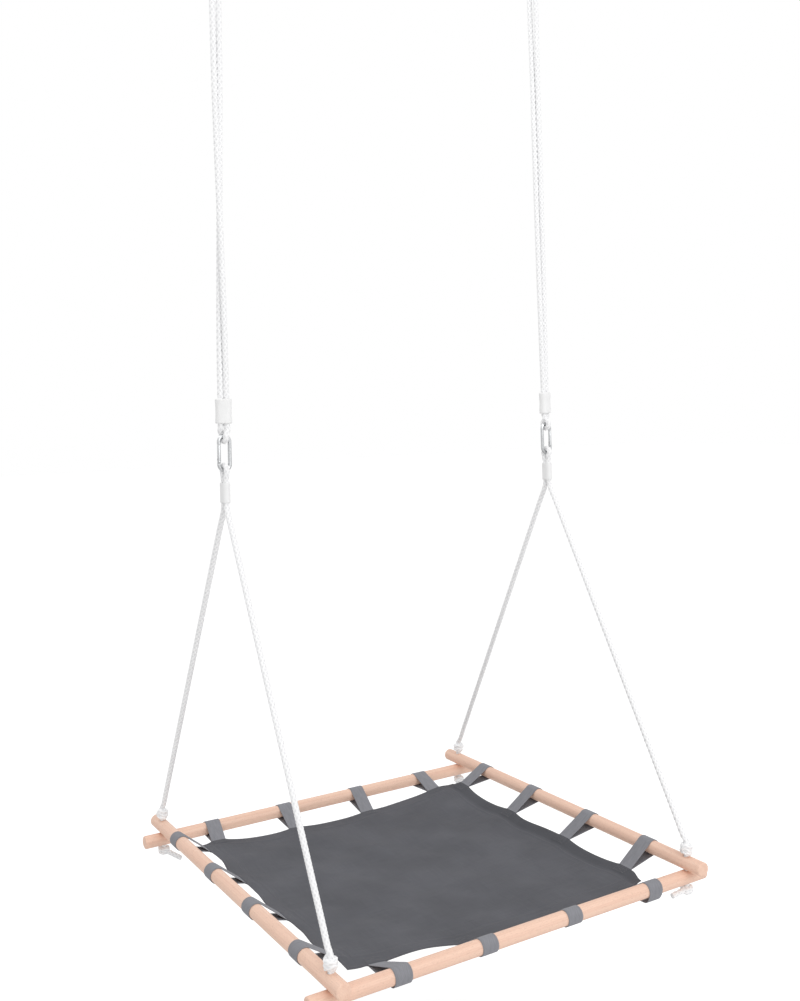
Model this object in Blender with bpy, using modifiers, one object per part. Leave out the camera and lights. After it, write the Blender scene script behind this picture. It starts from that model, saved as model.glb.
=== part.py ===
# Hanging platform swing: a fabric mat held by webbing loops in a frame of four crossed wooden poles,
# hung from two rope bridles, snap hooks and doubled hanger ropes.
# Metres, +Z up. The origin lies midway between the seats of the two upper snap hooks. +X runs from
# the left pole to the right pole, and +Y from the front pole to the back pole.

import math

import bmesh
import bpy
from mathutils import Matrix, Vector
from mathutils.geometry import interpolate_bezier

# Wooden frame: the left and right poles lie on the front and back ones
POLE_DIAMETER = 0.032
POLE_SPACING = 0.900
POLE_OVERHANG = 0.050
POLE_END_ROUND = 0.003
POLE_SIDES = 20

# Fabric mat: its edge is drawn in between the webbing loops, it hangs lower at the right than at the
# left, and its front and back edges sag, the back one more
MAT_TO_POLE = 0.063
MAT_DROP = {"left": 0.014, "right": 0.025}
EDGE_SAG = {"front": 0.022, "back": 0.030}
MIDDLE_SAG = 0.008
MAT_THICKNESS = 0.002
SCALLOP_DEPTH = 0.007
MAT_CELLS = 20

# Webbing loops: each laps the mat above and below. A side's loops are spread evenly between the margins
# at its ends, sewn on off centre by the shift, and each has slid along the pole by its own slide
LOOP_WIDTH = 0.038
LOOP_THICKNESS = 0.0016
LOOP_LAP = 0.024
LOOP_MARGIN = 0.063
LOOP_SHIFT = 0.005
LOOP_SLIDES = {
    "left": (-0.014, -0.007, -0.012, -0.004),
    "front": (0.014, -0.001, 0.000, 0.011),
    "right": (-0.010, -0.022, -0.018, -0.016),
    "back": (0.008, 0.001, 0.004, -0.008),
}
LOOP_ARC_STEPS = 10

# Rope and its knots
ROPE_DIAMETER = 0.012
ROPE_CLEARANCE = 0.0005
ROPE_STEP = 0.060
KNOT_DIAMETER = 0.030
KNOT_HEIGHT = 0.028
KNOT_STEPS = 14
TAIL_REACH = {"left_front": 0.042, "left_back": 0.042, "right_front": 0.042, "right_back": 0.010}
TAIL_DROP = {"left_front": 0.018, "left_back": 0.018, "right_front": 0.011, "right_back": 0.018}
STRAIGHT_LEAD = 0.003

# Bridle sleeve and hanger clamp, each round two strands of rope
SLEEVE_FOOT = 0.858
SLEEVE_HEIGHT = 0.042
SLEEVE_WALL = 0.0022
SLEEVE_EDGE = 0.0005
CLAMP_HEIGHT = 0.052
CLAMP_WALL = 0.0048
CLAMP_EDGE = 0.002
STRAND_GAP = 0.0004

# Hanger rope: doubled, with a slow twist in the pair
HANGER_DROP = 1.076
HANGER_TWIST = {"left": math.radians(247), "right": math.radians(110)}
HANGER_TAPER = 0.360
EYE_DROP = 0.026
HANG_SPAN = 0.810
HANGER_JOIN_GAP = 0.001

# Snap hook: a bent wire with a sprung gate on a rivet
HOOK_LENGTH = 0.080
HOOK_WIDTH = 0.032
HOOK_WIRE = 0.008
BIGHT_GAP = 0.0006
GATE_DIAMETER = 0.0075
GATE_TIP_CLEARANCE = 0.0016
GATE_NOSE_GAP = 0.0006
GATE_HEEL = 0.0036
TONGUE_THICKNESS = 0.003
TONGUE_TOP = 0.004
SLOT_TOP = 0.0062
HINGE_CLEARANCE = 0.0003
RIVET_DIAMETER = 0.003
RIVET_HEAD = 0.0006
SPRING_DIAMETER = 0.0034
SPRING_WIRE = 0.0006
SPRING_LENGTH = 0.012
SPRING_TURNS = 4
SPRING_STEPS = 8

# Gap left between pieces that touch
CONTACT_GAP = 0.0003

# Heights above the plane where the poles cross, and places worked out from the sizes above
ROPE_RADIUS = ROPE_DIAMETER / 2
POLE_LENGTH = POLE_SPACING + 2 * POLE_OVERHANG
POLE_AXIS = POLE_DIAMETER / 2 + CONTACT_GAP / 2
POLE_FACE = POLE_AXIS + POLE_DIAMETER / 2
KNOT_FOOT = POLE_FACE + CONTACT_GAP
KNOT_TOP = KNOT_FOOT + KNOT_HEIGHT
MAT_HALF = POLE_SPACING / 2 - MAT_TO_POLE
STRAND_OFFSET = ROPE_RADIUS + STRAND_GAP / 2
BIGHT_RADIUS = HOOK_WIRE / 2 + BIGHT_GAP + ROPE_RADIUS
HOOK_CENTRES = HOOK_LENGTH - HOOK_WIRE
HOOK_ARC = (HOOK_WIDTH - HOOK_WIRE) / 2
GATE_HALF = HOOK_CENTRES / 2 - BIGHT_RADIUS - ROPE_RADIUS - GATE_TIP_CLEARANCE
TILT_HEIGHT = SLEEVE_FOOT + SLEEVE_HEIGHT + EYE_DROP
LINK_HEIGHT = TILT_HEIGHT + HOOK_CENTRES
CLAMP_FOOT = LINK_HEIGHT + EYE_DROP
CLAMP_TOP = CLAMP_FOOT + CLAMP_HEIGHT
SWING_HEIGHT = CLAMP_TOP + HANGER_DROP
HANG_HEIGHT = SWING_HEIGHT + HOOK_CENTRES - HOOK_WIRE / 2
LEAN = math.atan2((POLE_SPACING - HANG_SPAN) / 2, HANG_HEIGHT - KNOT_TOP)
QUARTER_TURN = math.pi / 2
SIDES = {"left": -1, "right": 1}
ENDS = {"front": -1, "back": 1}
FRAME_TURN = {"left": 0.0, "front": QUARTER_TURN, "right": 2 * QUARTER_TURN, "back": 3 * QUARTER_TURN}
SMOOTH_ANGLE = math.radians(40)


def clear_scene():
    for old in list(bpy.data.objects):
        bpy.data.objects.remove(old, do_unlink=True)


def new_collection(name):
    collection = bpy.data.collections.new(name)
    bpy.context.scene.collection.children.link(collection)
    return collection


def principled(name, colour, roughness, metallic=0.0):
    material = bpy.data.materials.new(name)
    material.use_nodes = True
    shader = material.node_tree.nodes["Principled BSDF"]
    shader.inputs["Base Color"].default_value = (*colour, 1.0)
    shader.inputs["Roughness"].default_value = roughness
    shader.inputs["Metallic"].default_value = metallic
    return material


clear_scene()
PARTS = new_collection("platform_swing")
CUTTERS = new_collection("cutters")
BEECH = principled("pale_beech", (0.80, 0.53, 0.37), 0.55)
CANVAS = principled("grey_canvas", (0.118, 0.118, 0.127), 0.85)
WEBBING = principled("grey_webbing", (0.16, 0.16, 0.18), 0.80)
ROPE = principled("white_rope", (0.86, 0.86, 0.84), 0.85)
WHITE_PLASTIC = principled("white_plastic", (0.88, 0.88, 0.87), 0.40)
STEEL = principled("zinc_plated_steel", (0.55, 0.56, 0.57), 0.30, 1.0)


def level(height):
    """Z of a height above the plane where the poles cross."""
    return height - HANG_HEIGHT


def side_x(side, height):
    """X of one side's ropes: upright through the poles and the knot, then leaning in to the hooks."""
    share = max(0.0, height - KNOT_TOP) / (HANG_HEIGHT - KNOT_TOP)
    return SIDES[side] * (POLE_SPACING + (HANG_SPAN - POLE_SPACING) * share) / 2


def gear_matrix(side, height, turn=0.0):
    """Frame of a piece of hanging gear: on the side's leaning line, turned about that line."""
    place = Matrix.Translation((side_x(side, height), 0, level(height)))
    return place @ Matrix.Rotation(-SIDES[side] * LEAN, 4, "Y") @ Matrix.Rotation(turn, 4, "Z")


def axis_empty(name, location):
    empty = bpy.data.objects.new(name, None)
    empty.location = location
    PARTS.objects.link(empty)
    return empty


def add_part(name, data, material, matrix=None, parent=None):
    """Link a piece where the matrix puts it in the world, whatever it is parented to."""
    part = bpy.data.objects.new(name, data)
    PARTS.objects.link(part)
    part.data.materials.clear()
    part.data.materials.append(material)
    if parent:
        part.parent = parent
        part.matrix_parent_inverse = Matrix.Translation(parent.location).inverted()
    part.matrix_basis = matrix or Matrix.Identity(4)
    return part


def add_cutter(name, mesh, matrix=None):
    cutter = bpy.data.objects.new(name, mesh)
    CUTTERS.objects.link(cutter)
    cutter.matrix_basis = matrix or Matrix.Identity(4)
    cutter.hide_render = True
    cutter.display_type = "WIRE"
    return cutter


def cut(part, cutter):
    boolean = part.modifiers.new(cutter.name, "BOOLEAN")
    boolean.operation = "DIFFERENCE"
    boolean.object = cutter


def shade_round(mesh):
    mesh.shade_smooth()
    mesh.set_sharp_from_angle(angle=SMOOTH_ANGLE)


def baked(source):
    """A plain mesh of an object as its modifiers leave it, with the caps of a curve welded on."""
    evaluated = source.evaluated_get(bpy.context.evaluated_depsgraph_get())
    mesh = bpy.data.meshes.new_from_object(evaluated)
    work = bmesh.new()
    work.from_mesh(mesh)
    bmesh.ops.remove_doubles(work, verts=work.verts, dist=1e-6)
    work.to_mesh(mesh)
    work.free()
    bpy.data.objects.remove(source, do_unlink=True)
    shade_round(mesh)
    return mesh


def rod_mesh(name, diameter, length, sides, axis="Z", centre=(0, 0, 0)):
    turns = {"X": Matrix.Rotation(QUARTER_TURN, 4, "Y"), "Y": Matrix.Rotation(QUARTER_TURN, 4, "X")}
    matrix = Matrix.Translation(centre) @ turns.get(axis, Matrix.Identity(4))
    work = bmesh.new()
    radius = diameter / 2
    bmesh.ops.create_cone(
        work, cap_ends=True, segments=sides, radius1=radius, radius2=radius, depth=length, matrix=matrix
    )
    mesh = bpy.data.meshes.new(name)
    work.to_mesh(mesh)
    work.free()
    shade_round(mesh)
    return mesh


def box_mesh(name, size, centre):
    work = bmesh.new()
    bmesh.ops.create_cube(work, size=1, matrix=Matrix.Translation(centre) @ Matrix.Diagonal((*size, 1)))
    mesh = bpy.data.meshes.new(name)
    work.to_mesh(mesh)
    work.free()
    return mesh


def tube_curve(name, points, diameter, bevel_resolution=2):
    curve = bpy.data.curves.new(name, "CURVE")
    curve.dimensions = "3D"
    curve.bevel_depth = diameter / 2
    curve.bevel_resolution = bevel_resolution
    curve.use_fill_caps = True
    spline = curve.splines.new("POLY")
    spline.points.add(len(points) - 1)
    for spot, point in zip(spline.points, points):
        spot.co = (*point, 1)
    return curve


def plate_curve(name, outlines, thickness):
    """A flat plate in local XY: the first outline is its edge, and the others are holes."""
    curve = bpy.data.curves.new(name, "CURVE")
    curve.dimensions = "2D"
    curve.fill_mode = "BOTH"
    curve.extrude = thickness / 2
    for outline in outlines:
        spline = curve.splines.new("POLY")
        spline.points.add(len(outline) - 1)
        for spot, (x, y) in zip(spline.points, outline):
            spot.co = (x, y, 0, 1)
        spline.use_cyclic_u = True
    return curve


def arc(centre, radius, start, end, steps):
    angles = [start + (end - start) * step / steps for step in range(steps + 1)]
    return [(centre[0] + radius * math.cos(a), centre[1] + radius * math.sin(a)) for a in angles]


def stadium(half_length, radius, steps=8):
    right = arc((half_length, 0), radius, -QUARTER_TURN, QUARTER_TURN, steps)
    left = arc((-half_length, 0), radius, QUARTER_TURN, 3 * QUARTER_TURN, steps)
    return right + left


def smooth_route(route, step=ROPE_STEP):
    """Points along a smooth curve through the route's own points, no further apart than the step."""
    steps = [(b - a).length for a, b in zip(route, route[1:])]
    ways = [(b - a).normalized() for a, b in zip(route, route[1:])]
    tangents = [ways[0]] + [(a + b).normalized() for a, b in zip(ways, ways[1:])] + [ways[-1]]
    points = []
    for i, run in enumerate(steps):
        count = max(1, math.ceil(run / step))
        start, end = route[i], route[i + 1]
        first, second = start + tangents[i] * run / 3, end - tangents[i + 1] * run / 3
        points += interpolate_bezier(start, first, second, end, count + 1)[:-1]
    return points + [route[-1]]


# Wooden poles


def frame_matrix(side, along=0.0):
    """A pole's frame: local X points in to the mat, local Y up, and local Z along the pole."""
    upper = side in SIDES
    axis_level = level(POLE_AXIS if upper else -POLE_AXIS)
    place = Matrix.Translation((-POLE_SPACING / 2, -along, axis_level))
    return Matrix.Rotation(FRAME_TURN[side], 4, "Z") @ place @ Matrix.Rotation(QUARTER_TURN, 4, "X")


def add_rope_hole_cutters():
    """One upright drill at each crossing, through both poles."""
    drill = rod_mesh("rope_drill", ROPE_DIAMETER + 2 * ROPE_CLEARANCE, 3 * POLE_DIAMETER, 16)
    cutters = {}
    for across in SIDES:
        for along, sign in ENDS.items():
            spot = (SIDES[across] * POLE_SPACING / 2, sign * POLE_SPACING / 2, level(0))
            name = f"rope_hole_{across}_{along}"
            cutters[across, along] = add_cutter(name, drill, Matrix.Translation(spot))
    return cutters


def add_poles(parent):
    cutters = add_rope_hole_cutters()
    for side in FRAME_TURN:
        mesh = rod_mesh(f"{side}_pole", POLE_DIAMETER, POLE_LENGTH, POLE_SIDES)
        pole = add_part(f"{side}_pole", mesh, BEECH, frame_matrix(side), parent)
        rounding = pole.modifiers.new("rounded_ends", "BEVEL")
        rounding.width = POLE_END_ROUND
        rounding.segments = 2
        rounding.limit_method = "ANGLE"
        rounding.angle_limit = SMOOTH_ANGLE
        for crossing, cutter in cutters.items():
            if side in crossing:
                cut(pole, cutter)


# Mat and webbing loops


def loop_spacing(side):
    return 2 * (MAT_HALF - LOOP_MARGIN) / (len(LOOP_SLIDES[side]) - 1)


def loop_places(side):
    """Places of the loops along one side of the mat, measured from its middle."""
    first = LOOP_SHIFT + LOOP_MARGIN - MAT_HALF
    return [first + loop_spacing(side) * i for i in range(len(LOOP_SLIDES[side]))]


def edge_inset(side, along):
    """How far the mat's edge is drawn in at a place along a side: nothing at a loop, most between two."""
    places = loop_places(side)
    if not places[0] < along < places[-1]:
        return 0.0
    spacing = loop_spacing(side)
    past = (along - places[0]) % spacing - LOOP_WIDTH / 2
    share = min(max(past / (spacing - LOOP_WIDTH), 0.0), 1.0)
    return SCALLOP_DEPTH * 4 * share * (1 - share)


def sag_share(place):
    """Share of the mat's sag at a distance from its middle."""
    return max(0.0, 1 - (place / MAT_HALF) ** 2)


def mix(low, high, share):
    return low + (high - low) * share


def cloth_point(x, y):
    """Middle of the mat's cloth at a place on it, given as the cloth lies flat."""
    beside = edge_inset("right", y) if x > 0 else edge_inset("left", -y)
    ahead = edge_inset("back", -x) if y > 0 else edge_inset("front", x)
    drop = mix(MAT_DROP["left"], MAT_DROP["right"], (x / MAT_HALF + 1) / 2)
    edge_sag = mix(EDGE_SAG["front"], EDGE_SAG["back"], (y / MAT_HALF + 1) / 2)
    sag = (edge_sag + MIDDLE_SAG * sag_share(y)) * sag_share(x)
    drawn_x = x * (1 - beside * (x / MAT_HALF) ** 2 / MAT_HALF)
    drawn_y = y * (1 - ahead * (y / MAT_HALF) ** 2 / MAT_HALF)
    return Vector((drawn_x, drawn_y, level(-drop - sag)))


def add_mat(parent):
    work = bmesh.new()
    bmesh.ops.create_grid(work, x_segments=MAT_CELLS, y_segments=MAT_CELLS, size=MAT_HALF)
    for vertex in work.verts:
        vertex.co = cloth_point(vertex.co.x, vertex.co.y)
    mesh = bpy.data.meshes.new("mat")
    work.to_mesh(mesh)
    work.free()
    shade_round(mesh)
    mat = add_part("mat", mesh, CANVAS, parent=parent)
    cloth = mat.modifiers.new("cloth_thickness", "SOLIDIFY")
    cloth.thickness = MAT_THICKNESS
    cloth.offset = 0.0


def tangent_angle(point, radius, way):
    """Angle round a circle at the origin where the line from a point outside touches it."""
    return math.atan2(point.y, point.x) + way * math.acos(radius / point.length)


def band_faces(path, thickness):
    """The two faces of a band of even thickness along an open path, mitred at its corners."""
    ways = [(b - a).normalized() for a, b in zip(path, path[1:])]
    ways = [ways[0]] + ways + [ways[-1]]
    outer, inner = [], []
    for point, before, after in zip(path, ways, ways[1:]):
        normal = Vector((-(before.y + after.y), before.x + after.x)).normalized()
        mitre = thickness / 2 / normal.dot(Vector((-before.y, before.x)))
        outer.append(point + normal * mitre)
        inner.append(point - normal * mitre)
    return outer, inner


def hem_spot(side, inset, along):
    """A place on the cloth by one side's edge, in that side's pole frame."""
    flat = Vector((inset - MAT_HALF, -along))
    flat.rotate(Matrix.Rotation(FRAME_TURN[side], 2))
    return frame_matrix(side).inverted() @ cloth_point(*flat)


def loop_edge(side, sewn, at_pole):
    """One edge of a loop in its pole's frame: from the upper lap round the pole to the lower lap."""
    radius = POLE_DIAMETER / 2 + CONTACT_GAP + LOOP_THICKNESS / 2
    stack = Vector((0, MAT_THICKNESS / 2 + CONTACT_GAP + LOOP_THICKNESS / 2))
    lap, edge = hem_spot(side, LOOP_LAP, sewn), hem_spot(side, 0.0, sewn)
    upper, lower = edge.xy + stack, edge.xy - stack
    start = tangent_angle(upper, radius, 1)
    end = tangent_angle(lower, radius, -1) + 2 * math.pi
    corner_radius = radius / math.cos((end - start) / LOOP_ARC_STEPS / 2)
    wrap = [Vector(p) for p in arc((0, 0), corner_radius, start, end, LOOP_ARC_STEPS)]
    path = [lap.xy + stack, upper] + wrap + [lower, lap.xy - stack]
    alongs = [lap.z, edge.z] + [at_pole] * len(wrap) + [edge.z, lap.z]
    outer, inner = band_faces(path, LOOP_THICKNESS)
    return [(*spot, along) for face in (outer, inner) for spot, along in zip(face, alongs)]


def loop_mesh(name, side, sewn, at_pole):
    """A loop of webbing between its two edges."""
    half = LOOP_WIDTH / 2
    edges = [loop_edge(side, sewn + way * half, at_pole + way * half) for way in (-1, 1)]
    points, step = edges[0] + edges[1], len(edges[0])
    count = step // 2
    faces = []
    for i in range(count - 1):
        edge_face = (i, i + 1, i + 1 + count, i + count)
        faces += [edge_face, tuple(corner + step for corner in edge_face)]
        faces += [(corner, corner + 1, corner + 1 + step, corner + step) for corner in (i, i + count)]
    for i in (0, count - 1):
        faces.append((i, i + count, i + count + step, i + step))
    mesh = bpy.data.meshes.new(name)
    mesh.from_pydata(points, [], faces)
    work = bmesh.new()
    work.from_mesh(mesh)
    bmesh.ops.recalc_face_normals(work, faces=work.faces)
    work.to_mesh(mesh)
    work.free()
    shade_round(mesh)
    return mesh


def add_loops(parent):
    for side in FRAME_TURN:
        for number, (place, slide) in enumerate(zip(loop_places(side), LOOP_SLIDES[side]), start=1):
            name = f"{side}_loop_{number}"
            add_part(name, loop_mesh(name, side, place, place + slide), WEBBING, frame_matrix(side), parent)


# Bridle ropes, their knots and sleeves


def bridle_half(side, end):
    """Route of half a bridle, from the top of its sleeve down one leg to the end of the tail."""
    way = ENDS[end]
    corner = way * POLE_SPACING / 2
    strand = way * STRAND_OFFSET

    def spot(height, along, inward=0.0):
        return Vector((side_x(side, height) - SIDES[side] * inward, along, level(height)))

    sleeve_top = SLEEVE_FOOT + SLEEVE_HEIGHT
    straight_top, straight_foot = KNOT_TOP + STRAIGHT_LEAD, -KNOT_TOP - STRAIGHT_LEAD
    sleeve_leads = (sleeve_top + STRAIGHT_LEAD, sleeve_top, SLEEVE_FOOT, SLEEVE_FOOT - STRAIGHT_LEAD)
    sleeve = [spot(height, strand) for height in sleeve_leads]
    leg_top = spot(SLEEVE_FOOT - STRAIGHT_LEAD - ROPE_DIAMETER, strand + way * ROPE_RADIUS / 2)
    leg_foot = spot(straight_top + ROPE_DIAMETER, corner - way * ROPE_RADIUS / 2)
    leg = [leg_top.lerp(leg_foot, share) for share in (0.0, 0.05, 0.35, 0.65, 0.95, 1.0)]
    pole_leads = (straight_top, KNOT_TOP, POLE_FACE, -POLE_FACE, -KNOT_TOP, straight_foot)
    upright = [spot(height, corner) for height in pole_leads]
    tail_shape = ((0.12, 0.42), (0.38, 0.78), (0.70, 0.94), (1.0, 1.0))
    reach, drop = TAIL_REACH[f"{side}_{end}"], TAIL_DROP[f"{side}_{end}"]
    tail = [spot(straight_foot - drop * down, corner, reach * out) for out, down in tail_shape]
    return sleeve + leg + upright + tail


def bight(side, height, way):
    """Half turn of rope round a hook's wire, from +Y to -Y, over it or under it."""
    place = Vector((side_x(side, height), 0, level(height)))
    return [place + Vector((0, y, way * z)) for y, z in arc((0, 0), BIGHT_RADIUS, 0, math.pi, 8)]


def add_bridle_ropes(parent):
    for side in SIDES:
        back, front = bridle_half(side, "back"), bridle_half(side, "front")
        route = back[::-1] + bight(side, TILT_HEIGHT, 1) + front
        curve = tube_curve(f"{side}_bridle_rope", smooth_route(route), ROPE_DIAMETER)
        add_part(curve.name, curve, ROPE, parent=parent)


def knot_profile():
    """Half section of a stopper knot: two rounded turns with the rope's hole through the middle."""
    hole = ROPE_RADIUS + ROPE_CLEARANCE
    outside = KNOT_DIAMETER / 2
    half = KNOT_HEIGHT / 2
    shape = ((0.80, 1.0), (1.0, 0.5), (0.90, 0.0), (1.0, -0.5), (0.80, -1.0))
    return [(hole, half)] + [(outside * r, half * z) for r, z in shape] + [(hole, -half)]


def turned_mesh(name, profile, steps):
    """A closed half section turned about Z."""
    mesh = bpy.data.meshes.new(name)
    count = len(profile)
    edges = [(i, (i + 1) % count) for i in range(count)]
    mesh.from_pydata([(r, 0, z) for r, z in profile], edges, [])
    source = bpy.data.objects.new(name, mesh)
    PARTS.objects.link(source)
    screw = source.modifiers.new("turned", "SCREW")
    screw.steps = screw.render_steps = steps
    screw.use_merge_vertices = True
    screw.merge_threshold = 1e-5
    return baked(source)


def add_knots(parent):
    mesh = turned_mesh("stopper_knot", knot_profile(), KNOT_STEPS)
    for side in SIDES:
        for along, sign in ENDS.items():
            for layer, way in (("upper", 1), ("lower", -1)):
                height = way * (KNOT_FOOT + KNOT_HEIGHT / 2)
                spot = (SIDES[side] * POLE_SPACING / 2, sign * POLE_SPACING / 2, level(height))
                add_part(f"{side}_{along}_{layer}_knot", mesh, ROPE, Matrix.Translation(spot), parent)


def two_strand_block(name, wall, height, edge):
    """A block with rounded edges round two strands of rope that lie side by side along local X."""
    inside = ROPE_RADIUS + ROPE_CLEARANCE
    outlines = [stadium(STRAND_OFFSET, inside + wall - edge), stadium(STRAND_OFFSET, inside + edge)]
    block = plate_curve(name, outlines, height - 2 * edge)
    block.bevel_depth = edge
    block.bevel_resolution = 0
    return block


def add_sleeves(parent):
    for side in SIDES:
        curve = two_strand_block(f"{side}_bridle_sleeve", SLEEVE_WALL, SLEEVE_HEIGHT, SLEEVE_EDGE)
        matrix = gear_matrix(side, SLEEVE_FOOT + SLEEVE_HEIGHT / 2, QUARTER_TURN)
        add_part(curve.name, curve, WHITE_PLASTIC, matrix, parent)


# Hanger ropes and their clamps


def hanger_angle(side, height):
    """Direction of the first strand from the pair's middle: along Y at the top, then slowly turning."""
    share = min((SWING_HEIGHT - height) / HANGER_DROP, 1.0)
    return QUARTER_TURN + HANGER_TWIST[side] * share


def eye_angle(side):
    """Direction of the first strand at the lower hook: the turn of the clamp, brought to the nearest Y."""
    turned = HANGER_TWIST[side] / math.pi
    return QUARTER_TURN + round(turned) * math.pi


def strand_spot(side, height, offset, angle):
    place = Vector((side_x(side, height), 0, level(height)))
    return place + Vector((math.cos(angle), math.sin(angle), 0)) * offset


def long_strand(side, opposite):
    """One strand from the top of the clamp up to the upper hook's wire."""
    count = math.ceil(HANGER_DROP / ROPE_STEP)
    points = []
    for i in range(count):
        height = CLAMP_TOP + HANGER_DROP * i / count
        near = max(0.0, 1 - (SWING_HEIGHT - height) / HANGER_TAPER)
        offset = STRAND_OFFSET + (BIGHT_RADIUS - STRAND_OFFSET) * near * near * (3 - 2 * near)
        points.append(strand_spot(side, height, offset, hanger_angle(side, height) + opposite))
    return points


def eye_strand(side, opposite):
    """One strand of the lower eye, from the foot of the clamp down to the hook's wire."""
    start = hanger_angle(side, CLAMP_TOP)
    points = []
    for share in (0.0, 0.25, 0.5, 0.75):
        height = CLAMP_FOOT - STRAIGHT_LEAD - (EYE_DROP - STRAIGHT_LEAD) * share
        offset = STRAND_OFFSET + (BIGHT_RADIUS - STRAND_OFFSET) * share
        angle = start + (eye_angle(side) - start) * share
        points.append(strand_spot(side, height, offset, angle + opposite))
    return [strand_spot(side, CLAMP_FOOT, STRAND_OFFSET, start + opposite)] + points


def hanger_route(side):
    """The whole rope, from its first end inside the clamp, up, over, down, round and back to its second."""
    middle = CLAMP_FOOT + CLAMP_HEIGHT / 2
    first_end, second_end = middle + HANGER_JOIN_GAP, middle - HANGER_JOIN_GAP
    held = hanger_angle(side, CLAMP_TOP)
    lower = bight(side, LINK_HEIGHT, -1)
    if math.sin(eye_angle(side)) > 0:
        lower.reverse()
    route = [strand_spot(side, first_end, STRAND_OFFSET, held)]
    route += long_strand(side, 0) + bight(side, SWING_HEIGHT, 1) + long_strand(side, math.pi)[::-1]
    route += eye_strand(side, math.pi) + lower + eye_strand(side, 0)[::-1]
    return route + [strand_spot(side, second_end, STRAND_OFFSET, held)]


def add_hangers(parent):
    for side in SIDES:
        rope = tube_curve(f"{side}_hanger_rope", smooth_route(hanger_route(side)), ROPE_DIAMETER)
        add_part(rope.name, rope, ROPE, parent=parent)
        clamp = two_strand_block(f"{side}_hanger_clamp", CLAMP_WALL, CLAMP_HEIGHT, CLAMP_EDGE)
        matrix = gear_matrix(side, CLAMP_FOOT + CLAMP_HEIGHT / 2, hanger_angle(side, CLAMP_TOP))
        add_part(clamp.name, clamp, WHITE_PLASTIC, matrix, parent)


# Snap hooks


def hook_mesh():
    """The bent wire: round both ends, with a flat tongue for the gate's rivet below the opening."""
    straight = HOOK_CENTRES / 2 - HOOK_ARC
    nose = [(HOOK_ARC, GATE_HALF)]
    top = arc((0, straight), HOOK_ARC, 0, math.pi, 8)
    bottom = arc((0, -straight), HOOK_ARC, math.pi, 2 * math.pi, 8)
    tongue = [(HOOK_ARC, TONGUE_TOP - GATE_HALF)]
    path = [Vector((x, 0, z)) for x, z in nose + top + bottom + tongue]
    wire = bpy.data.objects.new("hook_wire", tube_curve("hook_wire", path, HOOK_WIRE))
    PARTS.objects.link(wire)
    hook = bpy.data.objects.new("hook", baked(wire))
    PARTS.objects.link(hook)
    sweep = math.hypot(GATE_DIAMETER / 2, GATE_HEEL) + HINGE_CLEARANCE
    cheek = Vector((2 * HOOK_WIRE, HOOK_WIRE, sweep + 2 * TONGUE_TOP))
    cutters = []
    for way in (-1, 1):
        centre = (HOOK_ARC, way * (TONGUE_THICKNESS + cheek.y) / 2, -GATE_HALF - sweep + cheek.z / 2)
        cutters.append(add_cutter(f"cheek_{way}", box_mesh("cheek", cheek, centre)))
    hole = RIVET_DIAMETER + 2 * HINGE_CLEARANCE
    drill = rod_mesh("rivet_drill", hole, 2 * HOOK_WIRE, 12, "Y", (HOOK_ARC, 0, -GATE_HALF))
    cutters.append(add_cutter("rivet_drill", drill))
    for cutter in cutters:
        cut(hook, cutter)
    mesh = baked(hook)
    for cutter in cutters:
        bpy.data.objects.remove(cutter, do_unlink=True)
    return mesh


def gate_mesh():
    """The gate: a round bar from its rivet at the origin up to the hook's nose, forked over the tongue."""
    top = 2 * GATE_HALF - GATE_NOSE_GAP
    length = top + GATE_HEEL
    bar = rod_mesh("gate_bar", GATE_DIAMETER, length, 16, "Z", (0, 0, top - length / 2))
    gate = bpy.data.objects.new("gate", bar)
    PARTS.objects.link(gate)
    slot = Vector((2 * GATE_DIAMETER, TONGUE_THICKNESS + 2 * HINGE_CLEARANCE, SLOT_TOP + 2 * GATE_HEEL))
    hole = RIVET_DIAMETER + 2 * HINGE_CLEARANCE
    bore = SPRING_DIAMETER + 2 * HINGE_CLEARANCE
    bore_length = SLOT_TOP / 2 + SPRING_LENGTH + HINGE_CLEARANCE
    bore_middle = (0, 0, SLOT_TOP / 2 + bore_length / 2)
    cutters = [
        add_cutter("fork_slot", box_mesh("fork_slot", slot, (0, 0, SLOT_TOP - slot.z / 2))),
        add_cutter("rivet_drill", rod_mesh("rivet_drill", hole, 2 * GATE_DIAMETER, 12, "Y")),
        add_cutter("spring_bore", rod_mesh("spring_bore", bore, bore_length, 12, "Z", bore_middle)),
    ]
    for cutter in cutters:
        cut(gate, cutter)
    mesh = baked(gate)
    for cutter in cutters:
        bpy.data.objects.remove(cutter, do_unlink=True)
    return mesh


def spring_curve():
    """The gate's spring, in the bore above the tongue."""
    radius = (SPRING_DIAMETER - SPRING_WIRE) / 2
    count = SPRING_TURNS * SPRING_STEPS
    rise = SPRING_LENGTH - SPRING_WIRE - CONTACT_GAP
    points = []
    for i in range(count + 1):
        angle = 2 * math.pi * i / SPRING_STEPS
        height = SLOT_TOP + SPRING_WIRE / 2 + rise * i / count
        points.append(Vector((radius * math.cos(angle), radius * math.sin(angle), height)))
    return tube_curve("gate_spring", points, SPRING_WIRE, bevel_resolution=1)


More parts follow.
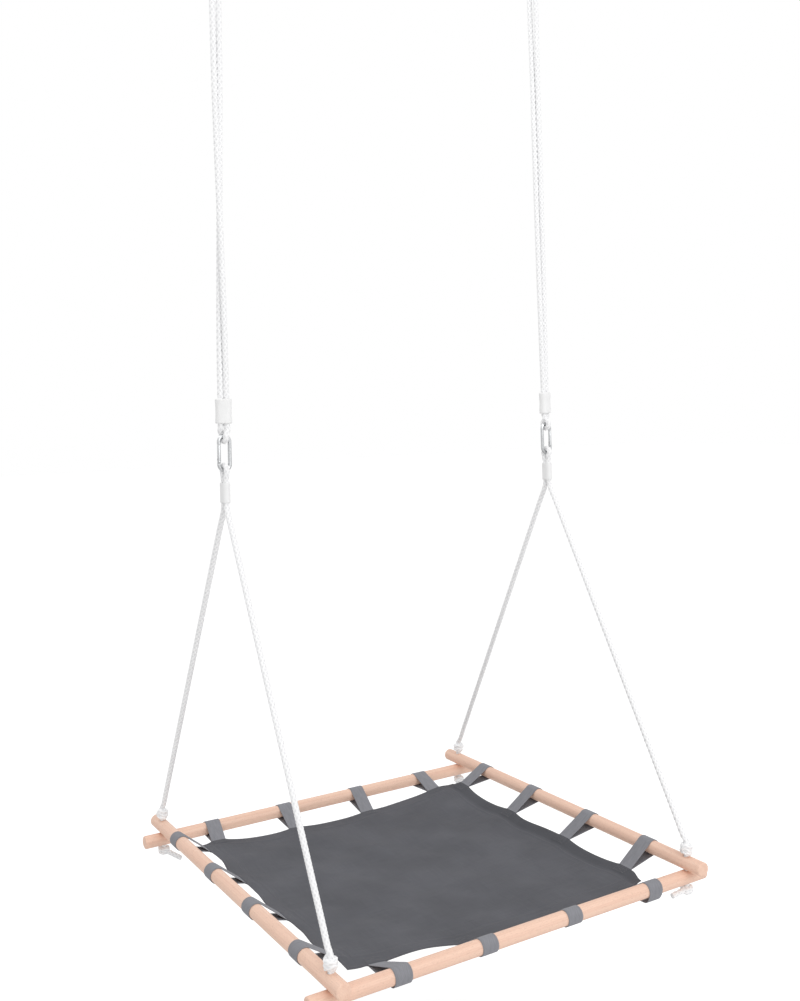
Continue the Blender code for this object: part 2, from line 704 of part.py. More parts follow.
def add_hooks(axes):
    """Two hooks a side, each with its gate on the outer side; the rivet belongs to the hook."""
    hook, gate, spring = hook_mesh(), gate_mesh(), spring_curve()
    rivet = rod_mesh("gate_rivet", RIVET_DIAMETER, GATE_DIAMETER + 2 * RIVET_HEAD, 12, "Y")
    middles = {"lower": (TILT_HEIGHT + LINK_HEIGHT) / 2, "upper": SWING_HEIGHT + HOOK_CENTRES / 2}
    for layer, middle in middles.items():
        for side in SIDES:
            name = f"{side}_{layer}"
            outward = 0.0 if SIDES[side] > 0 else math.pi
            matrix = gear_matrix(side, middle, outward)
            hinge = matrix @ Matrix.Translation((HOOK_ARC, 0, -GATE_HALF))
            add_part(f"{name}_hook", hook, STEEL, matrix, axes.get(name))
            add_part(f"{name}_gate_rivet", rivet, STEEL, hinge, axes.get(name))
            gate_axis = axis_empty(f"{name}_gate_axis", hinge.translation)
            add_part(f"{name}_gate", gate, STEEL, hinge, gate_axis)
            add_part(f"{name}_gate_spring", spring, STEEL, hinge, gate_axis)


swing_axis = axis_empty("swing_axis", (0, 0, level(SWING_HEIGHT)))
tilt_axis = axis_empty("platform_tilt_axis", (0, 0, level(TILT_HEIGHT)))
link_axes = {
    f"{side}_lower": axis_empty(f"{side}_link_axis", (side_x(side, LINK_HEIGHT), 0, level(LINK_HEIGHT)))
    for side in SIDES
}
add_poles(tilt_axis)
add_mat(tilt_axis)
add_loops(tilt_axis)
add_bridle_ropes(tilt_axis)
add_knots(tilt_axis)
add_sleeves(tilt_axis)
add_hangers(swing_axis)
add_hooks(link_axes)
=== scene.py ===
"""Looks of a hanging platform swing: turned poles, a stretched cloth, webbing, braided rope and steel."""

import math

import bmesh
import bpy
import numpy as np
from bpy.props import FloatProperty, FloatVectorProperty, IntProperty, PointerProperty
from mathutils import Matrix, Vector
from mathutils.geometry import interpolate_bezier


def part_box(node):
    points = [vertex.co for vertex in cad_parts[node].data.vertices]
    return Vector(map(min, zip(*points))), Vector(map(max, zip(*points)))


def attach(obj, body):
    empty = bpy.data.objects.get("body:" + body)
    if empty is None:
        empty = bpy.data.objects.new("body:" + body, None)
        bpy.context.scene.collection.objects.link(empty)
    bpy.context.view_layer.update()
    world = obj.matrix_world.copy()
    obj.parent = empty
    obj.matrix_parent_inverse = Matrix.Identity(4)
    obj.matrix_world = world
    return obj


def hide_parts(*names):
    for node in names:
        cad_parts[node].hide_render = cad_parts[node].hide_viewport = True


bl_info = {
    "name": "Platform Swing",
    "version": (1, 0, 0),
    "blender": (4, 5, 0),
    "location": "View3D > Sidebar > Swing",
    "description": "Builds a hanging platform swing round its frame",
    "category": "Add Mesh",
}

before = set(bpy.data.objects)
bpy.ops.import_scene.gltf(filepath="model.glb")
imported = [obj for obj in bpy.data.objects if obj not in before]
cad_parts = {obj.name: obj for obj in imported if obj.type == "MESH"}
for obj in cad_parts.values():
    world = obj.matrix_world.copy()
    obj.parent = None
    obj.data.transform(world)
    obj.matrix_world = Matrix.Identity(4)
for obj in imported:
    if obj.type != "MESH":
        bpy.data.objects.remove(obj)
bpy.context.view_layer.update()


def node_middle(node):
    low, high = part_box(node)
    return (low + high) / 2


# Places read from the frame
LEFT_POLE, RIGHT_POLE = node_middle("left_pole"), node_middle("right_pole")
FRONT_POLE = node_middle("front_pole")
POLE_LOW, POLE_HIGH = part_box("left_pole")
POLE_DIAMETER = POLE_HIGH.x - POLE_LOW.x
POLE_LENGTH = POLE_HIGH.y - POLE_LOW.y
POLE_SPACING = RIGHT_POLE.x - LEFT_POLE.x
HANG_HEIGHT = -(LEFT_POLE.z + FRONT_POLE.z) / 2
POLE_AXIS = (LEFT_POLE.z - FRONT_POLE.z) / 2

# Rope, knots and routes, as in the part
ROPE_DIAMETER = 0.012
ROPE_RADIUS = ROPE_DIAMETER / 2
KNOT_HEIGHT = 0.028
STRAIGHT_LEAD = 0.003
SLEEVE_FOOT = 0.858
SLEEVE_HEIGHT = 0.042
CLAMP_HEIGHT = 0.052
ROPE_CLEARANCE = 0.0005
STRAND_GAP = 0.0004
EYE_DROP = 0.026
HANGER_DROP = 1.076
HANGER_TWIST = {"left": math.radians(247), "right": math.radians(110)}
HANGER_TAPER = 0.360
HANG_SPAN = 0.810
HANGER_JOIN_GAP = 0.001
CONTACT_GAP = 0.0003

# Snap hooks, as in the part
HOOK_LENGTH = 0.080
HOOK_WIDTH = 0.032
HOOK_WIRE = 0.008
BIGHT_GAP = 0.0006
BRAID_ROOM = 0.0004
GATE_DIAMETER = 0.0075
GATE_TIP_CLEARANCE = 0.0016
GATE_NOSE_GAP = 0.0006
GATE_HEEL = 0.0036
TONGUE_THICKNESS = 0.003
TONGUE_TOP = 0.004
SLOT_TOP = 0.0062
HINGE_CLEARANCE = 0.0003
RIVET_DIAMETER = 0.003
RIVET_HEAD = 0.0010

# Cloth and webbing, as in the part
MAT_TO_POLE = 0.063
MAT_HALF = POLE_SPACING / 2 - MAT_TO_POLE
MAT_DROP = {"left": 0.014, "right": 0.025}
EDGE_SAG = {"front": 0.022, "back": 0.030}
MIDDLE_SAG = 0.008
LOOP_WIDTH = 0.038
LOOP_LAP = 0.024
LOOP_MARGIN = 0.063
LOOP_SHIFT = 0.005
LOOP_SLIDES = {
    "left": (-0.014, -0.007, -0.012, -0.004),
    "front": (0.014, -0.001, 0.000, 0.011),
    "right": (-0.010, -0.022, -0.018, -0.016),
    "back": (0.008, 0.001, 0.004, -0.008),
}

# How far below its pole a loop hangs slack, and the two loops that hang further
LOOP_SLACK = 0.001
SLACK_LOOPS = {"front_loop_1": 0.003, "front_loop_4": 0.010}

# Stopper knots as tied: height, turns and reach of the strand's middle. Then the strand's radius, the tilt
# of its turns, and how far a leg's foot lies from the knot's middle
KNOTS = {"upper": (0.033, 1.9, 0.0092), "lower": (0.025, 1.4, 0.0098)}
KNOT_STRAND = 0.0054
KNOT_TILT = 0.28
LEG_LEAD = 0.010

# Route of a knot's strand, a spine, wraps and a tuck, as turns, shares of the reach and of half the height
KNOT_SPINE = ((0.0, 0.62, -1.0), (0.08, 1.05, -0.5), (0.18, 1.14, 0.2), (0.30, 1.0, 0.85))
WRAP_START = 0.45
WRAP_REACH = 0.92
WRAP_FALL = 1.95
KNOT_TUCK = ((0.14, 0.80, -0.85), (0.26, 0.45, -0.40))

# Turn of a knot by side, end and layer, the finer step along its strand, and how far the strand's ends close
KNOT_TURNS = (1.1, 2.3, 0.8)
KNOT_STEP = 0.7
KNOT_END = 0.3

# Braid: how far a strand that goes over stands up, and the lowest point and the range of the pattern
BRAID_OVER = 0.8
BRAID_LOW = -0.6
BRAID_RANGE = 2.4

# A direction that no path starts along
SKEW = (0.31, 0.59, 0.74)

# Where a tail's exit is measured from its end, and how far in from the crossing and below it each tail ends
TAIL_ENDS = {
    "left_front": (0.042, 0.082),
    "left_back": (0.042, 0.077),
    "right_front": (0.045, 0.050),
    "right_back": (0.010, 0.082),
}

# How the cloth hangs. Scallops: how deep an edge is drawn in between two loops, and how far that leans
SCALLOPS = {
    "left": ((0.003, 0.006), (0.001, 0.004), (0.002, 0.005)),
    "front": ((0.021, -0.002), (0.007, 0.000), (0.007, 0.000)),
    "right": ((0.010, 0.000), (0.005, -0.004), (0.011, 0.000)),
    "back": ((0.000, 0.000), (0.005, 0.000), (0.015, 0.000)),
}

# Corners, by the signs of X and Y: lifts of wide corners, and moves of the tips outside the last loops
CORNER_LIFTS = {(-1, -1): 0.011, (1, 1): 0.012}
CORNER_REACH = 0.240
CORNER_TIPS = {
    (-1, 1): (0.007, -0.012, -0.006),
    (-1, -1): (0.006, 0.003, -0.005),
    (1, 1): (-0.005, -0.006, -0.012),
    (1, -1): (-0.006, 0.008, -0.008),
}
TIP_REACH = 0.045

# Dip inside two hems and how it fades, painted shade that darkens the right hem's band, drop of the free
# edges, and the ridges that loops pull in the cloth
HEM_DIP = {"left": 0.005, "right": 0.008}
DIP_FADE = 0.180
RIGHT_HEM_PAINTED_SHADE = 0.80
FREE_EDGE_DROP = {"left": 0.005, "front": 0.001, "right": 0.001, "back": 0.001}
PULL_LENGTH = 0.080
PULL_HEIGHT = 0.0035
LOOSE_MARGIN = 0.045
RIDGE_MARGIN = 0.030
RIDGE_RISE = 0.030

# Slack waves in the middle: cycles in X and in Y, phase and height
SLACK_MARGIN = 0.120
WAVES = (
    (1.9, 0.7, 0.3, 0.0016),
    (0.8, -2.3, 1.4, 0.0015),
    (3.1, 2.2, 2.1, 0.0009),
    (-1.4, 3.9, 4.0, 0.0007),
)

# Widths over which the cloth's thickness steps at webbing and hem, lines of its grid, and round of its rim
SEWN_MARGIN = 0.004
LAP_STEP = 0.003
HEM_STEP = 0.0012
HEM_LINE = 0.0008
RIM_WIDTH = 0.0024
RIM_LINES = (0.0014, 0.0006, 0.0)
HEM_COUNT = 13
MIDDLE_COUNT = 148
FOLD_ROUND = 0.9

# Webbing: where it ends in its lap, its place off the cloth's middle as a share of its thickness, and its
# section as shares of half its width and half its thickness
LAP_END = 0.006
LAP_EDGE = 0.002
LAP_RISE = 0.52
BAND_ACROSS = np.array([-1, -0.97, -0.7, -0.35, 0, 0.35, 0.7, 0.97, 1])
BAND_HEIGHT = np.array([0.45, 0.85, 1, 1, 1, 1, 1, 0.85, 0.45])

# Stitching: length and rise of a stitch as shares of its pitch and its thread, points in a row, rows in from
# the edge and from the line of the hem, and the box sewn through each loop
STITCH_SHARE = 0.72
THREAD_PROUD = 0.1
ROW_POINTS = 240
BOX_POINTS = 24
EDGE_ROW = 0.006
HEM_ROW = 0.004
BOX_MARGIN = 0.004
BOX_NEAR = 0.010
BOX_FAR = LOOP_LAP - 0.002

# Wall, rim's round and waist of the sleeves and the clamps, bevel of the hook's wire, round of the gate, and
# the share of a block's height that its waist takes
SLEEVE_SHAPE = (0.0022, 0.0008, 0.0003)
CLAMP_SHAPE = (0.0048, 0.0024, 0.0008)
HOOK_BEVEL = 0.0006
GATE_ROUND = 0.0007
BARREL_SHARE = 0.8

# Rivet: its head as a share of the shank, where the dome starts, and the step from head to shank
RIVET_HEAD_SHARE = 0.72
DOME_START = 1.45
RIVET_NECK = 0.0001

# Faces round rope holes, bars, drills and rivets
HOLE_SIDES = 40
BAR_SIDES = 28
DRILL_SIDES = 24
RIVET_SIDES = 20

# Poles: flat of an end as a share of the radius, place of the pith, and its step from pole to pole
END_FLAT = 0.35
PITH = np.array([0.0, 0.021, 0.013])
PITH_STEP = np.array([1.7, 0.004, -0.007])

# Heights above the plane where the poles cross
POLE_FACE = POLE_AXIS + POLE_DIAMETER / 2
KNOT_FOOT = POLE_FACE + CONTACT_GAP
KNOT_TOP = KNOT_FOOT + KNOT_HEIGHT
STRAND_OFFSET = ROPE_RADIUS + STRAND_GAP / 2
BIGHT_RADIUS = HOOK_WIRE / 2 + BIGHT_GAP + ROPE_RADIUS
EYE_RADIUS = BIGHT_RADIUS + BRAID_ROOM
HOOK_CENTRES = HOOK_LENGTH - HOOK_WIRE
HOOK_ARC = (HOOK_WIDTH - HOOK_WIRE) / 2
GATE_HALF = HOOK_CENTRES / 2 - BIGHT_RADIUS - ROPE_RADIUS - GATE_TIP_CLEARANCE
TILT_HEIGHT = SLEEVE_FOOT + SLEEVE_HEIGHT + EYE_DROP
LINK_HEIGHT = TILT_HEIGHT + HOOK_CENTRES
CLAMP_FOOT = LINK_HEIGHT + EYE_DROP
CLAMP_TOP = CLAMP_FOOT + CLAMP_HEIGHT
SWING_HEIGHT = CLAMP_TOP + HANGER_DROP
LEAN = math.atan2((POLE_SPACING - HANG_SPAN) / 2, HANG_HEIGHT - KNOT_TOP)
QUARTER_TURN = math.pi / 2
SIDES = {"left": -1, "right": 1}
ENDS = {"front": -1, "back": 1}
INWARD = {"left": (1, 0), "front": (0, 1), "right": (-1, 0), "back": (0, -1)}
FRAME_TURN = {side: number * QUARTER_TURN for number, side in enumerate(INWARD)}

# Photograph's camera: place from the middle of the frame of poles, and its angles
IMAGE_HEIGHT = 1001
CAMERA_FOCAL = 1093.8
CAMERA_PLACE = Vector((-1.315, -2.151, 1.048))
CAMERA_YAW = math.radians(31.39)
CAMERA_PITCH = math.radians(-4.86)
CAMERA_ROLL = math.radians(-1.50)
SENSOR = 36.0

# Lamps, from a point above the frame of poles
HEART_HEIGHT = 0.3
KEY_PLACE = Vector((0.3, -3.6, 2.1))
KEY_SIZE = 3.0
TOP_PLACE = Vector((-1.2, 0.6, 3.4))
TOP_SIZE = 2.5

# Floor: half its size, its colour and how brightly the camera sees it glow
FLOOR_HALF = 30
FLOOR_COLOUR = (0.90, 0.90, 0.90, 1)
FLOOR_GLOW = 0.42
WHITE = (1, 1, 1, 1)


def colour_setting(name, description, default):
    return FloatVectorProperty(name=name, description=description, subtype="COLOR", default=default)


def length_setting(name, description, default):
    return FloatProperty(name=name, description=description, unit="LENGTH", default=default)


def count_setting(name, description, default):
    return IntProperty(name=name, description=description, default=default)


class PoleSettings(bpy.types.PropertyGroup):
    """Turned wooden poles."""

    light: colour_setting("Light wood", "Colour of the early wood", (0.91, 0.64, 0.50))
    dark: colour_setting("Dark wood", "Colour of the late wood", (0.82, 0.53, 0.405))
    end_round: length_setting("End round", "Rounding of the ends", 0.0035)
    sides: count_setting("Sides", "Faces round a pole", 72)


class ClothSettings(bpy.types.PropertyGroup):
    """Mat, webbing and thread."""

    canvas: colour_setting("Canvas", "Colour of the mat", (0.104, 0.106, 0.119))
    webbing: colour_setting("Webbing", "Colour of the loops", (0.255, 0.257, 0.280))
    thread: colour_setting("Thread", "Colour of the stitching", (0.14, 0.14, 0.15))
    layer: length_setting("Layer", "One layer of canvas", 0.0012)
    hem: length_setting("Hem", "Width of the turned hem", 0.040)
    weave: length_setting("Weave", "Pitch of the canvas threads", 0.0011)
    band: length_setting("Band", "Thickness of the webbing", 0.0015)
    stitch: length_setting("Stitch", "Pitch of the stitching", 0.0042)
    thread_width: length_setting("Thread width", "Width of the thread", 0.0008)


class RopeSettings(bpy.types.PropertyGroup):
    """Braided rope."""

    crown: colour_setting("Crown", "Colour of the strands", (0.98, 0.98, 0.985))
    # The colour between the strands is painted shade in the rope's grooves
    groove_painted_shade: colour_setting("Groove", "Colour between the strands", (0.82, 0.82, 0.83))
    strands: count_setting("Strands", "Strands that turn each way", 4)
    pitch: length_setting("Pitch", "Length of one strand's pattern", 0.013)
    relief: length_setting("Relief", "Height of the strands", 0.0006)
    step: length_setting("Step", "Distance between rings", 0.0017)
    sides: count_setting("Sides", "Faces round the rope", 24)


class FittingSettings(bpy.types.PropertyGroup):
    """Steel hooks and moulded fittings."""

    steel: colour_setting("Steel", "Colour of the hooks", (0.66, 0.67, 0.68))
    plastic: colour_setting("Plastic", "Colour of the clamps", (0.90, 0.90, 0.90))


class StageSettings(bpy.types.PropertyGroup):
    """Floor and light."""

    floor_drop: length_setting("Floor drop", "Floor below the poles", 0.62)
    ambient: FloatProperty(name="Ambient", description="Strength of the even light", default=0.68)
    key: FloatProperty(name="Key", description="Power of the main lamp", unit="POWER", default=58.0)
    top: FloatProperty(name="Top", description="Power of the lamp overhead", unit="POWER", default=30.0)


# Materials


# Length of one wave of the wave texture at a scale of one
WAVE_PERIOD = math.pi / 10


class Shading:
    """Shader nodes of a material or a world, added one at a time."""

    def __init__(self, owner):
        owner.use_nodes = True
        self.tree = owner.node_tree

    def feed(self, node, socket, value):
        if isinstance(value, bpy.types.NodeSocket):
            self.tree.links.new(value, node.inputs[socket])
        else:
            node.inputs[socket].default_value = value

    def add(self, kind, inputs=None, **settings):
        node = self.tree.nodes.new("ShaderNode" + kind)
        for name, value in settings.items():
            setattr(node, name, value)
        for socket, value in (inputs or {}).items():
            self.feed(node, socket, value)
        return node

    def maths(self, operation, first, second):
        return self.add("Math", {0: first, 1: second}, operation=operation).outputs[0]


class Finish(Shading):
    """A material with one principled shader."""

    def __init__(self, name, roughness, metallic=0.0):
        self.material = bpy.data.materials.new(name)
        super().__init__(self.material)
        self.shade("Roughness", roughness)
        self.shade("Metallic", metallic)

    def shade(self, socket, value):
        self.feed(self.tree.nodes["Principled BSDF"], socket, value)

    def uv(self, layer):
        return self.add("UVMap", uv_map=layer).outputs["UV"]

    def attribute(self, name, output):
        return self.add("Attribute", attribute_name=name).outputs[output]

    def stretched(self, vector, scale):
        return self.add("Mapping", {"Vector": vector, "Scale": scale}).outputs["Vector"]

    def noise(self, vector, scale=1.0, detail=2.0):
        return self.add("TexNoise", {"Vector": vector, "Scale": scale, "Detail": detail}).outputs["Fac"]

    def bands(self, vector, period, direction):
        inputs = {"Vector": vector, "Scale": WAVE_PERIOD / period}
        return self.add("TexWave", inputs, wave_type="BANDS", bands_direction=direction).outputs["Fac"]

    def spread(self, value, low, high, new_low=0.0, new_high=1.0):
        inputs = {"Value": value, "From Min": low, "From Max": high, "To Min": new_low, "To Max": new_high}
        return self.add("MapRange", inputs).outputs["Result"]

    def mix(self, share, first, second):
        return self.add("Mix", {0: share, 6: first, 7: second}, data_type="RGBA").outputs[2]

    def tinted(self, share, colour, low, high=1.0):
        """Mix of two brightnesses of one colour."""
        return self.mix(share, opaque(colour, low), opaque(colour, high))

    def scaled(self, colour, factor):
        return self.add("VectorMath", {0: colour, "Scale": factor}, operation="SCALE").outputs["Vector"]

    def bump(self, height, distance, strength):
        inputs = {"Height": height, "Distance": distance, "Strength": strength}
        self.shade("Normal", self.add("Bump", inputs).outputs["Normal"])


def opaque(colour, factor=1.0):
    return (*(channel * factor for channel in colour), 1.0)


def beech_wood(settings):
    """Pale wood: broad streaks, growth rings and short dark flecks along the grain."""
    finish = Finish("pale_beech_wood", 0.5)
    grain = finish.attribute("grain", "Vector")
    streaks = finish.noise(finish.stretched(grain, (2.5, 110, 110)), detail=4)
    ring_inputs = {
        "Vector": finish.stretched(grain, (0.22, 1, 1)),
        "Scale": WAVE_PERIOD / 0.0042,
        "Distortion": 2.2,
        "Detail": 2.0,
        "Detail Scale": 0.6,
    }
    rings = finish.add("TexWave", ring_inputs, wave_type="RINGS", rings_direction="X").outputs["Fac"]
    flecks = finish.noise(finish.stretched(grain, (170, 1900, 1900)), detail=0)
    fleck_share = finish.spread(flecks, 0.64, 0.74, 0.0, 0.55)
    streak_share = finish.spread(streaks, 0.3, 0.7, 0, 0.75)
    share = finish.maths("ADD", streak_share, finish.spread(rings, 0, 1, 0, 0.25))
    wood = finish.mix(share, opaque(settings.light), opaque(settings.dark))
    finish.shade("Base Color", finish.mix(fleck_share, wood, opaque(settings.dark, 0.72)))
    finish.shade("Roughness", finish.spread(streaks, 0.2, 0.8, 0.42, 0.58))
    finish.bump(finish.maths("SUBTRACT", streaks, fleck_share), 0.0002, 0.25)
    return finish.material


def canvas_cloth(settings):
    """Plain weave: warp and weft ribs, uneven threads, slight fading and painted shade along the right hem.
    """
    finish = Finish("grey_canvas_weave", 0.82)
    cloth = finish.uv("cloth")
    warp = finish.bands(cloth, settings.weave, "X")
    weft = finish.bands(cloth, settings.weave, "Y")
    warp_slubs = finish.noise(finish.stretched(cloth, (700, 14, 1)), detail=2)
    weft_slubs = finish.noise(finish.stretched(cloth, (14, 700, 1)), detail=2)
    slubs = finish.maths("ADD", warp_slubs, weft_slubs)
    fading = finish.noise(cloth, 6.0, 4)
    slub_share = finish.spread(slubs, 0.7, 1.3, 0, 0.5)
    share = finish.maths("ADD", slub_share, finish.spread(fading, 0.36, 0.64, 0, 0.5))
    canvas = finish.tinted(share, settings.canvas, 0.80, 1.20)
    # Painted shade: the canvas colour is darkened across the right hem's band only, where that hem lies in
    # shade
    place = finish.add("SeparateXYZ", {"Vector": cloth}).outputs["X"]
    fold, edge = MAT_HALF - settings.hem * 0.85, MAT_HALF - settings.hem * 0.6
    hem_band = finish.spread(place, fold, edge, 1.0, RIGHT_HEM_PAINTED_SHADE)
    finish.shade("Base Color", finish.scaled(canvas, hem_band))
    finish.shade("Specular IOR Level", 0.15)
    finish.shade("Sheen Weight", 0.03)
    finish.shade("Sheen Roughness", 0.6)
    ribs = finish.maths("ADD", finish.maths("MULTIPLY", warp, weft), slubs)
    finish.bump(ribs, 0.0003, 0.30)
    return finish.material


def webbing_tape(settings):
    """Woven tape: fine ribs across it, a chevron along it and firmer edges."""
    finish = Finish("grey_webbing_tape", 0.72)
    path = finish.uv("path")
    ribs = finish.bands(path, 0.0017, "X")
    twill = finish.bands(path, 0.0026, "DIAGONAL")
    wear = finish.noise(finish.stretched(path, (40, 160, 1)), detail=3)
    weave = finish.maths("ADD", ribs, twill)
    weave_share = finish.spread(weave, 0, 2, 0, 0.45)
    share = finish.maths("ADD", weave_share, finish.spread(wear, 0.3, 0.7, 0, 0.55))
    finish.shade("Base Color", finish.tinted(share, settings.webbing, 0.82, 1.12))
    finish.shade("Specular IOR Level", 0.25)
    finish.shade("Sheen Weight", 0.05)
    finish.bump(weave, 0.00025, 0.35)
    return finish.material


def sewing_thread(settings):
    finish = Finish("grey_sewing_thread", 0.6)
    twist = finish.noise(finish.add("TexCoord").outputs["Object"], 900.0, 1)
    finish.shade("Base Color", finish.tinted(twist, settings.thread, 0.8, 1.15))
    return finish.material


def braided_rope(settings):
    """White rope: white crowns, painted shade in the grooves and fine fibres along the strands."""
    finish = Finish("white_braided_rope", 0.78)
    crown = finish.attribute("crown", "Fac")
    path = finish.uv("path")
    fibres = finish.noise(finish.stretched(path, (420, 2600, 1)), detail=2)
    soil = finish.noise(finish.stretched(path, (18, 60, 1)), detail=3)
    clean = finish.spread(soil, 0.15, 0.6, 0.82, 1.0)
    # Painted shade: the grooves between the strands take a darker colour than the crowns; the soil noise
    # adds dirt at random
    share = finish.maths("MULTIPLY", finish.spread(crown, 0.1, 0.6), clean)
    finish.shade("Base Color", finish.mix(share, opaque(settings.groove_painted_shade), opaque(settings.crown)))
    finish.shade("Sheen Weight", 0.15)
    finish.bump(fibres, 0.0003, 0.35)
    return finish.material


def moulded_plastic(settings):
    """White moulded plastic with a fine spark texture."""
    finish = Finish("white_moulded_plastic", 0.42)
    place = finish.add("TexCoord").outputs["Object"]
    spark = finish.noise(place, 1400.0, 1)
    handling = finish.noise(place, 70.0, 3)
    finish.shade("Base Color", finish.tinted(handling, settings.plastic, 0.95))
    finish.shade("Roughness", finish.spread(handling, 0.3, 0.7, 0.36, 0.50))
    finish.bump(spark, 0.0001, 0.2)
    return finish.material


def zinc_steel(settings):
    """Zinc plated steel: drawn lines and dull patches."""
    finish = Finish("zinc_plated_steel", 0.3, 1.0)
    place = finish.add("TexCoord").outputs["Object"]
    drawn = finish.noise(finish.stretched(place, (1500, 1500, 90)), detail=2)
    patches = finish.noise(place, 240.0, 3)
    finish.shade("Base Color", finish.tinted(patches, settings.steel, 0.86))
    finish.shade("Roughness", finish.spread(patches, 0.3, 0.7, 0.24, 0.40))
    finish.bump(drawn, 0.00005, 0.3)
    return finish.material


# Building blocks


def level(height):
    """Z of a height above the plane where the poles cross."""
    return height - HANG_HEIGHT


def new_object(name, data):
    made = bpy.data.objects.new(name, data)
    bpy.context.scene.collection.objects.link(made)
    return made


def add_piece(name, mesh, material, body, slot, *nodes):
    """A finished piece: its material, the body that it rides on and the nodes that it stands for."""
    mesh.name = name
    mesh.materials.clear()
    mesh.materials.append(material)
    piece = new_object(name, mesh)
    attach(piece, body)
    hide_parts(*nodes)
    return piece


def plain_mesh(source):
    """The mesh of an object as its modifiers leave it; the object itself is removed."""
    evaluated = source.evaluated_get(bpy.context.evaluated_depsgraph_get())
    mesh = bpy.data.meshes.new_from_object(evaluated)
    bpy.data.objects.remove(source, do_unlink=True)
    return mesh


def smooth_by_angle(mesh, degrees=35):
    mesh.shade_smooth()
    mesh.set_sharp_from_angle(angle=math.radians(degrees))


def cut_mesh(mesh, cutters):
    """The mesh less the cutters, all of them closed."""
    source = new_object("cut_source", mesh)
    tools = [new_object("cut_tool", cutter) for cutter in cutters]
    for tool in tools:
        boolean = source.modifiers.new("cut", "BOOLEAN")
        boolean.object = tool
    result = plain_mesh(source)
    for tool in tools:
        bpy.data.objects.remove(tool, do_unlink=True)
    smooth_by_angle(result)
    return result


def rod_mesh(diameter, length, sides, centre):
    """A rod along Y."""
    matrix = Matrix.Translation(centre) @ Matrix.Rotation(QUARTER_TURN, 4, "X")
    radius = diameter / 2
    work = bmesh.new()
    bmesh.ops.create_cone(
        work, cap_ends=True, segments=sides, radius1=radius, radius2=radius, depth=length, matrix=matrix
    )
    return mesh_from(work)


def box_mesh(size, centre):
    work = bmesh.new()
    bmesh.ops.create_cube(work, size=1, matrix=Matrix.Translation(centre) @ Matrix.Diagonal((*size, 1)))
    return mesh_from(work)


def mesh_from(work):
    mesh = bpy.data.meshes.new("shape")
    work.to_mesh(mesh)
    work.free()
    return mesh


def quad_grid(rows, columns, wrap):
    """Corner numbers of the faces of a grid of points, whose columns may close on themselves."""
    row = np.arange(rows - 1)[:, None]
    column = np.arange(columns if wrap else columns - 1)[None, :]
    after = (column + 1) % columns
    here, above = row * columns, (row + 1) * columns
    corners = (here + column, here + after, above + after, above + column)
    return np.stack(corners, axis=-1).reshape(-1, 4)


def swept_mesh(rings, along, around):
    """A closed mesh through rings of points, with a UV map in metres: along it, then around it."""
    count, sides = rings.shape[:2]
    faces = quad_grid(count, sides, True).tolist()
    faces += [list(range(sides))[::-1], list(range((count - 1) * sides, count * sides))]
    mesh = bpy.data.meshes.new("swept")
    mesh.from_pydata(rings.reshape(-1, 3), [], faces)
    corners = np.zeros((len(mesh.loops), 2), np.float32)
    first = np.repeat(np.arange(count - 1), sides)
    place = np.tile(np.arange(sides), count - 1)
    closed = np.append(around, around[-1] + (around[-1] - around[-2]))
    u = np.stack([along[first], along[first], along[first + 1], along[first + 1]], axis=1)
    v = np.stack([closed[place], closed[place + 1], closed[place + 1], closed[place]], axis=1)
    corners[: u.size] = np.stack([u.ravel(), v.ravel()], axis=1)
    mesh.uv_layers.new(name="path").data.foreach_set("uv", corners.ravel())
    mesh.shade_smooth()
    return mesh


def path_normals(points):
    """Two normals at each point of a path, carried along it without twist."""
    tangents = np.gradient(points, axis=0)
    tangents /= np.linalg.norm(tangents, axis=1)[:, None]
    normal = np.cross(tangents[0], SKEW)
    normals = []
    for tangent in tangents:
        normal = normal - tangent * normal.dot(tangent)
        normal = normal / np.linalg.norm(normal)
        normals.append(normal)
    return np.array(normals), np.cross(tangents, normals)


def path_lengths(points):
    return np.concatenate([[0.0], np.cumsum(np.linalg.norm(np.diff(points, axis=0), axis=1))])


def round_angles(sides):
    return np.linspace(0, 2 * math.pi, sides, endpoint=False)


def tube_mesh(points, reach, radius):
    """A tube along a path: its reach at each point and angle, and the radius that its UV map takes."""
    angles = round_angles(reach.shape[1])
    first, second = path_normals(points)
    cosines, sines = np.cos(angles)[None, :, None], np.sin(angles)[None, :, None]
    spokes = cosines * first[:, None] + sines * second[:, None]
    return swept_mesh(points[:, None] + spokes * reach[:, :, None], path_lengths(points), angles * radius)


def arc(centre, radius, start, end, steps):
    angles = [start + (end - start) * step / steps for step in range(steps + 1)]
    return [(centre[0] + radius * math.cos(a), centre[1] + radius * math.sin(a)) for a in angles]


def ease(value):
    """From 0 to 1 with level ends."""
    value = np.clip(value, 0.0, 1.0)
    return value * value * (3 - 2 * value)


def mix(low, high, share):
    return low + (high - low) * share


def side_x(side, height):
    """X of one side's ropes: upright through the poles and the knot, then leaning in to the hooks."""
    share = max(0.0, height - KNOT_TOP) / (HANG_HEIGHT - KNOT_TOP)
    return SIDES[side] * mix(POLE_SPACING, HANG_SPAN, share) / 2


def line_spot(side, height):
    """Point on the line that one side's ropes hang along."""
    return Vector((side_x(side, height), 0, level(height)))


def gear_matrix(side, height, turn=0.0):
    """Frame of a piece of hanging gear: on the side's leaning line, turned about that line."""
    place = Matrix.Translation(line_spot(side, height))
    return place @ Matrix.Rotation(-SIDES[side] * LEAN, 4, "Y") @ Matrix.Rotation(turn, 4, "Z")


def frame_matrix(side, along=0.0):
    """A pole's frame: local X points in to the mat, local Y up, and local Z along the pole."""
    axis_level = level(POLE_AXIS if side in SIDES else -POLE_AXIS)
    place = Matrix.Translation((-POLE_SPACING / 2, -along, axis_level))
    return Matrix.Rotation(FRAME_TURN[side], 4, "Z") @ place @ Matrix.Rotation(QUARTER_TURN, 4, "X")


# Rope


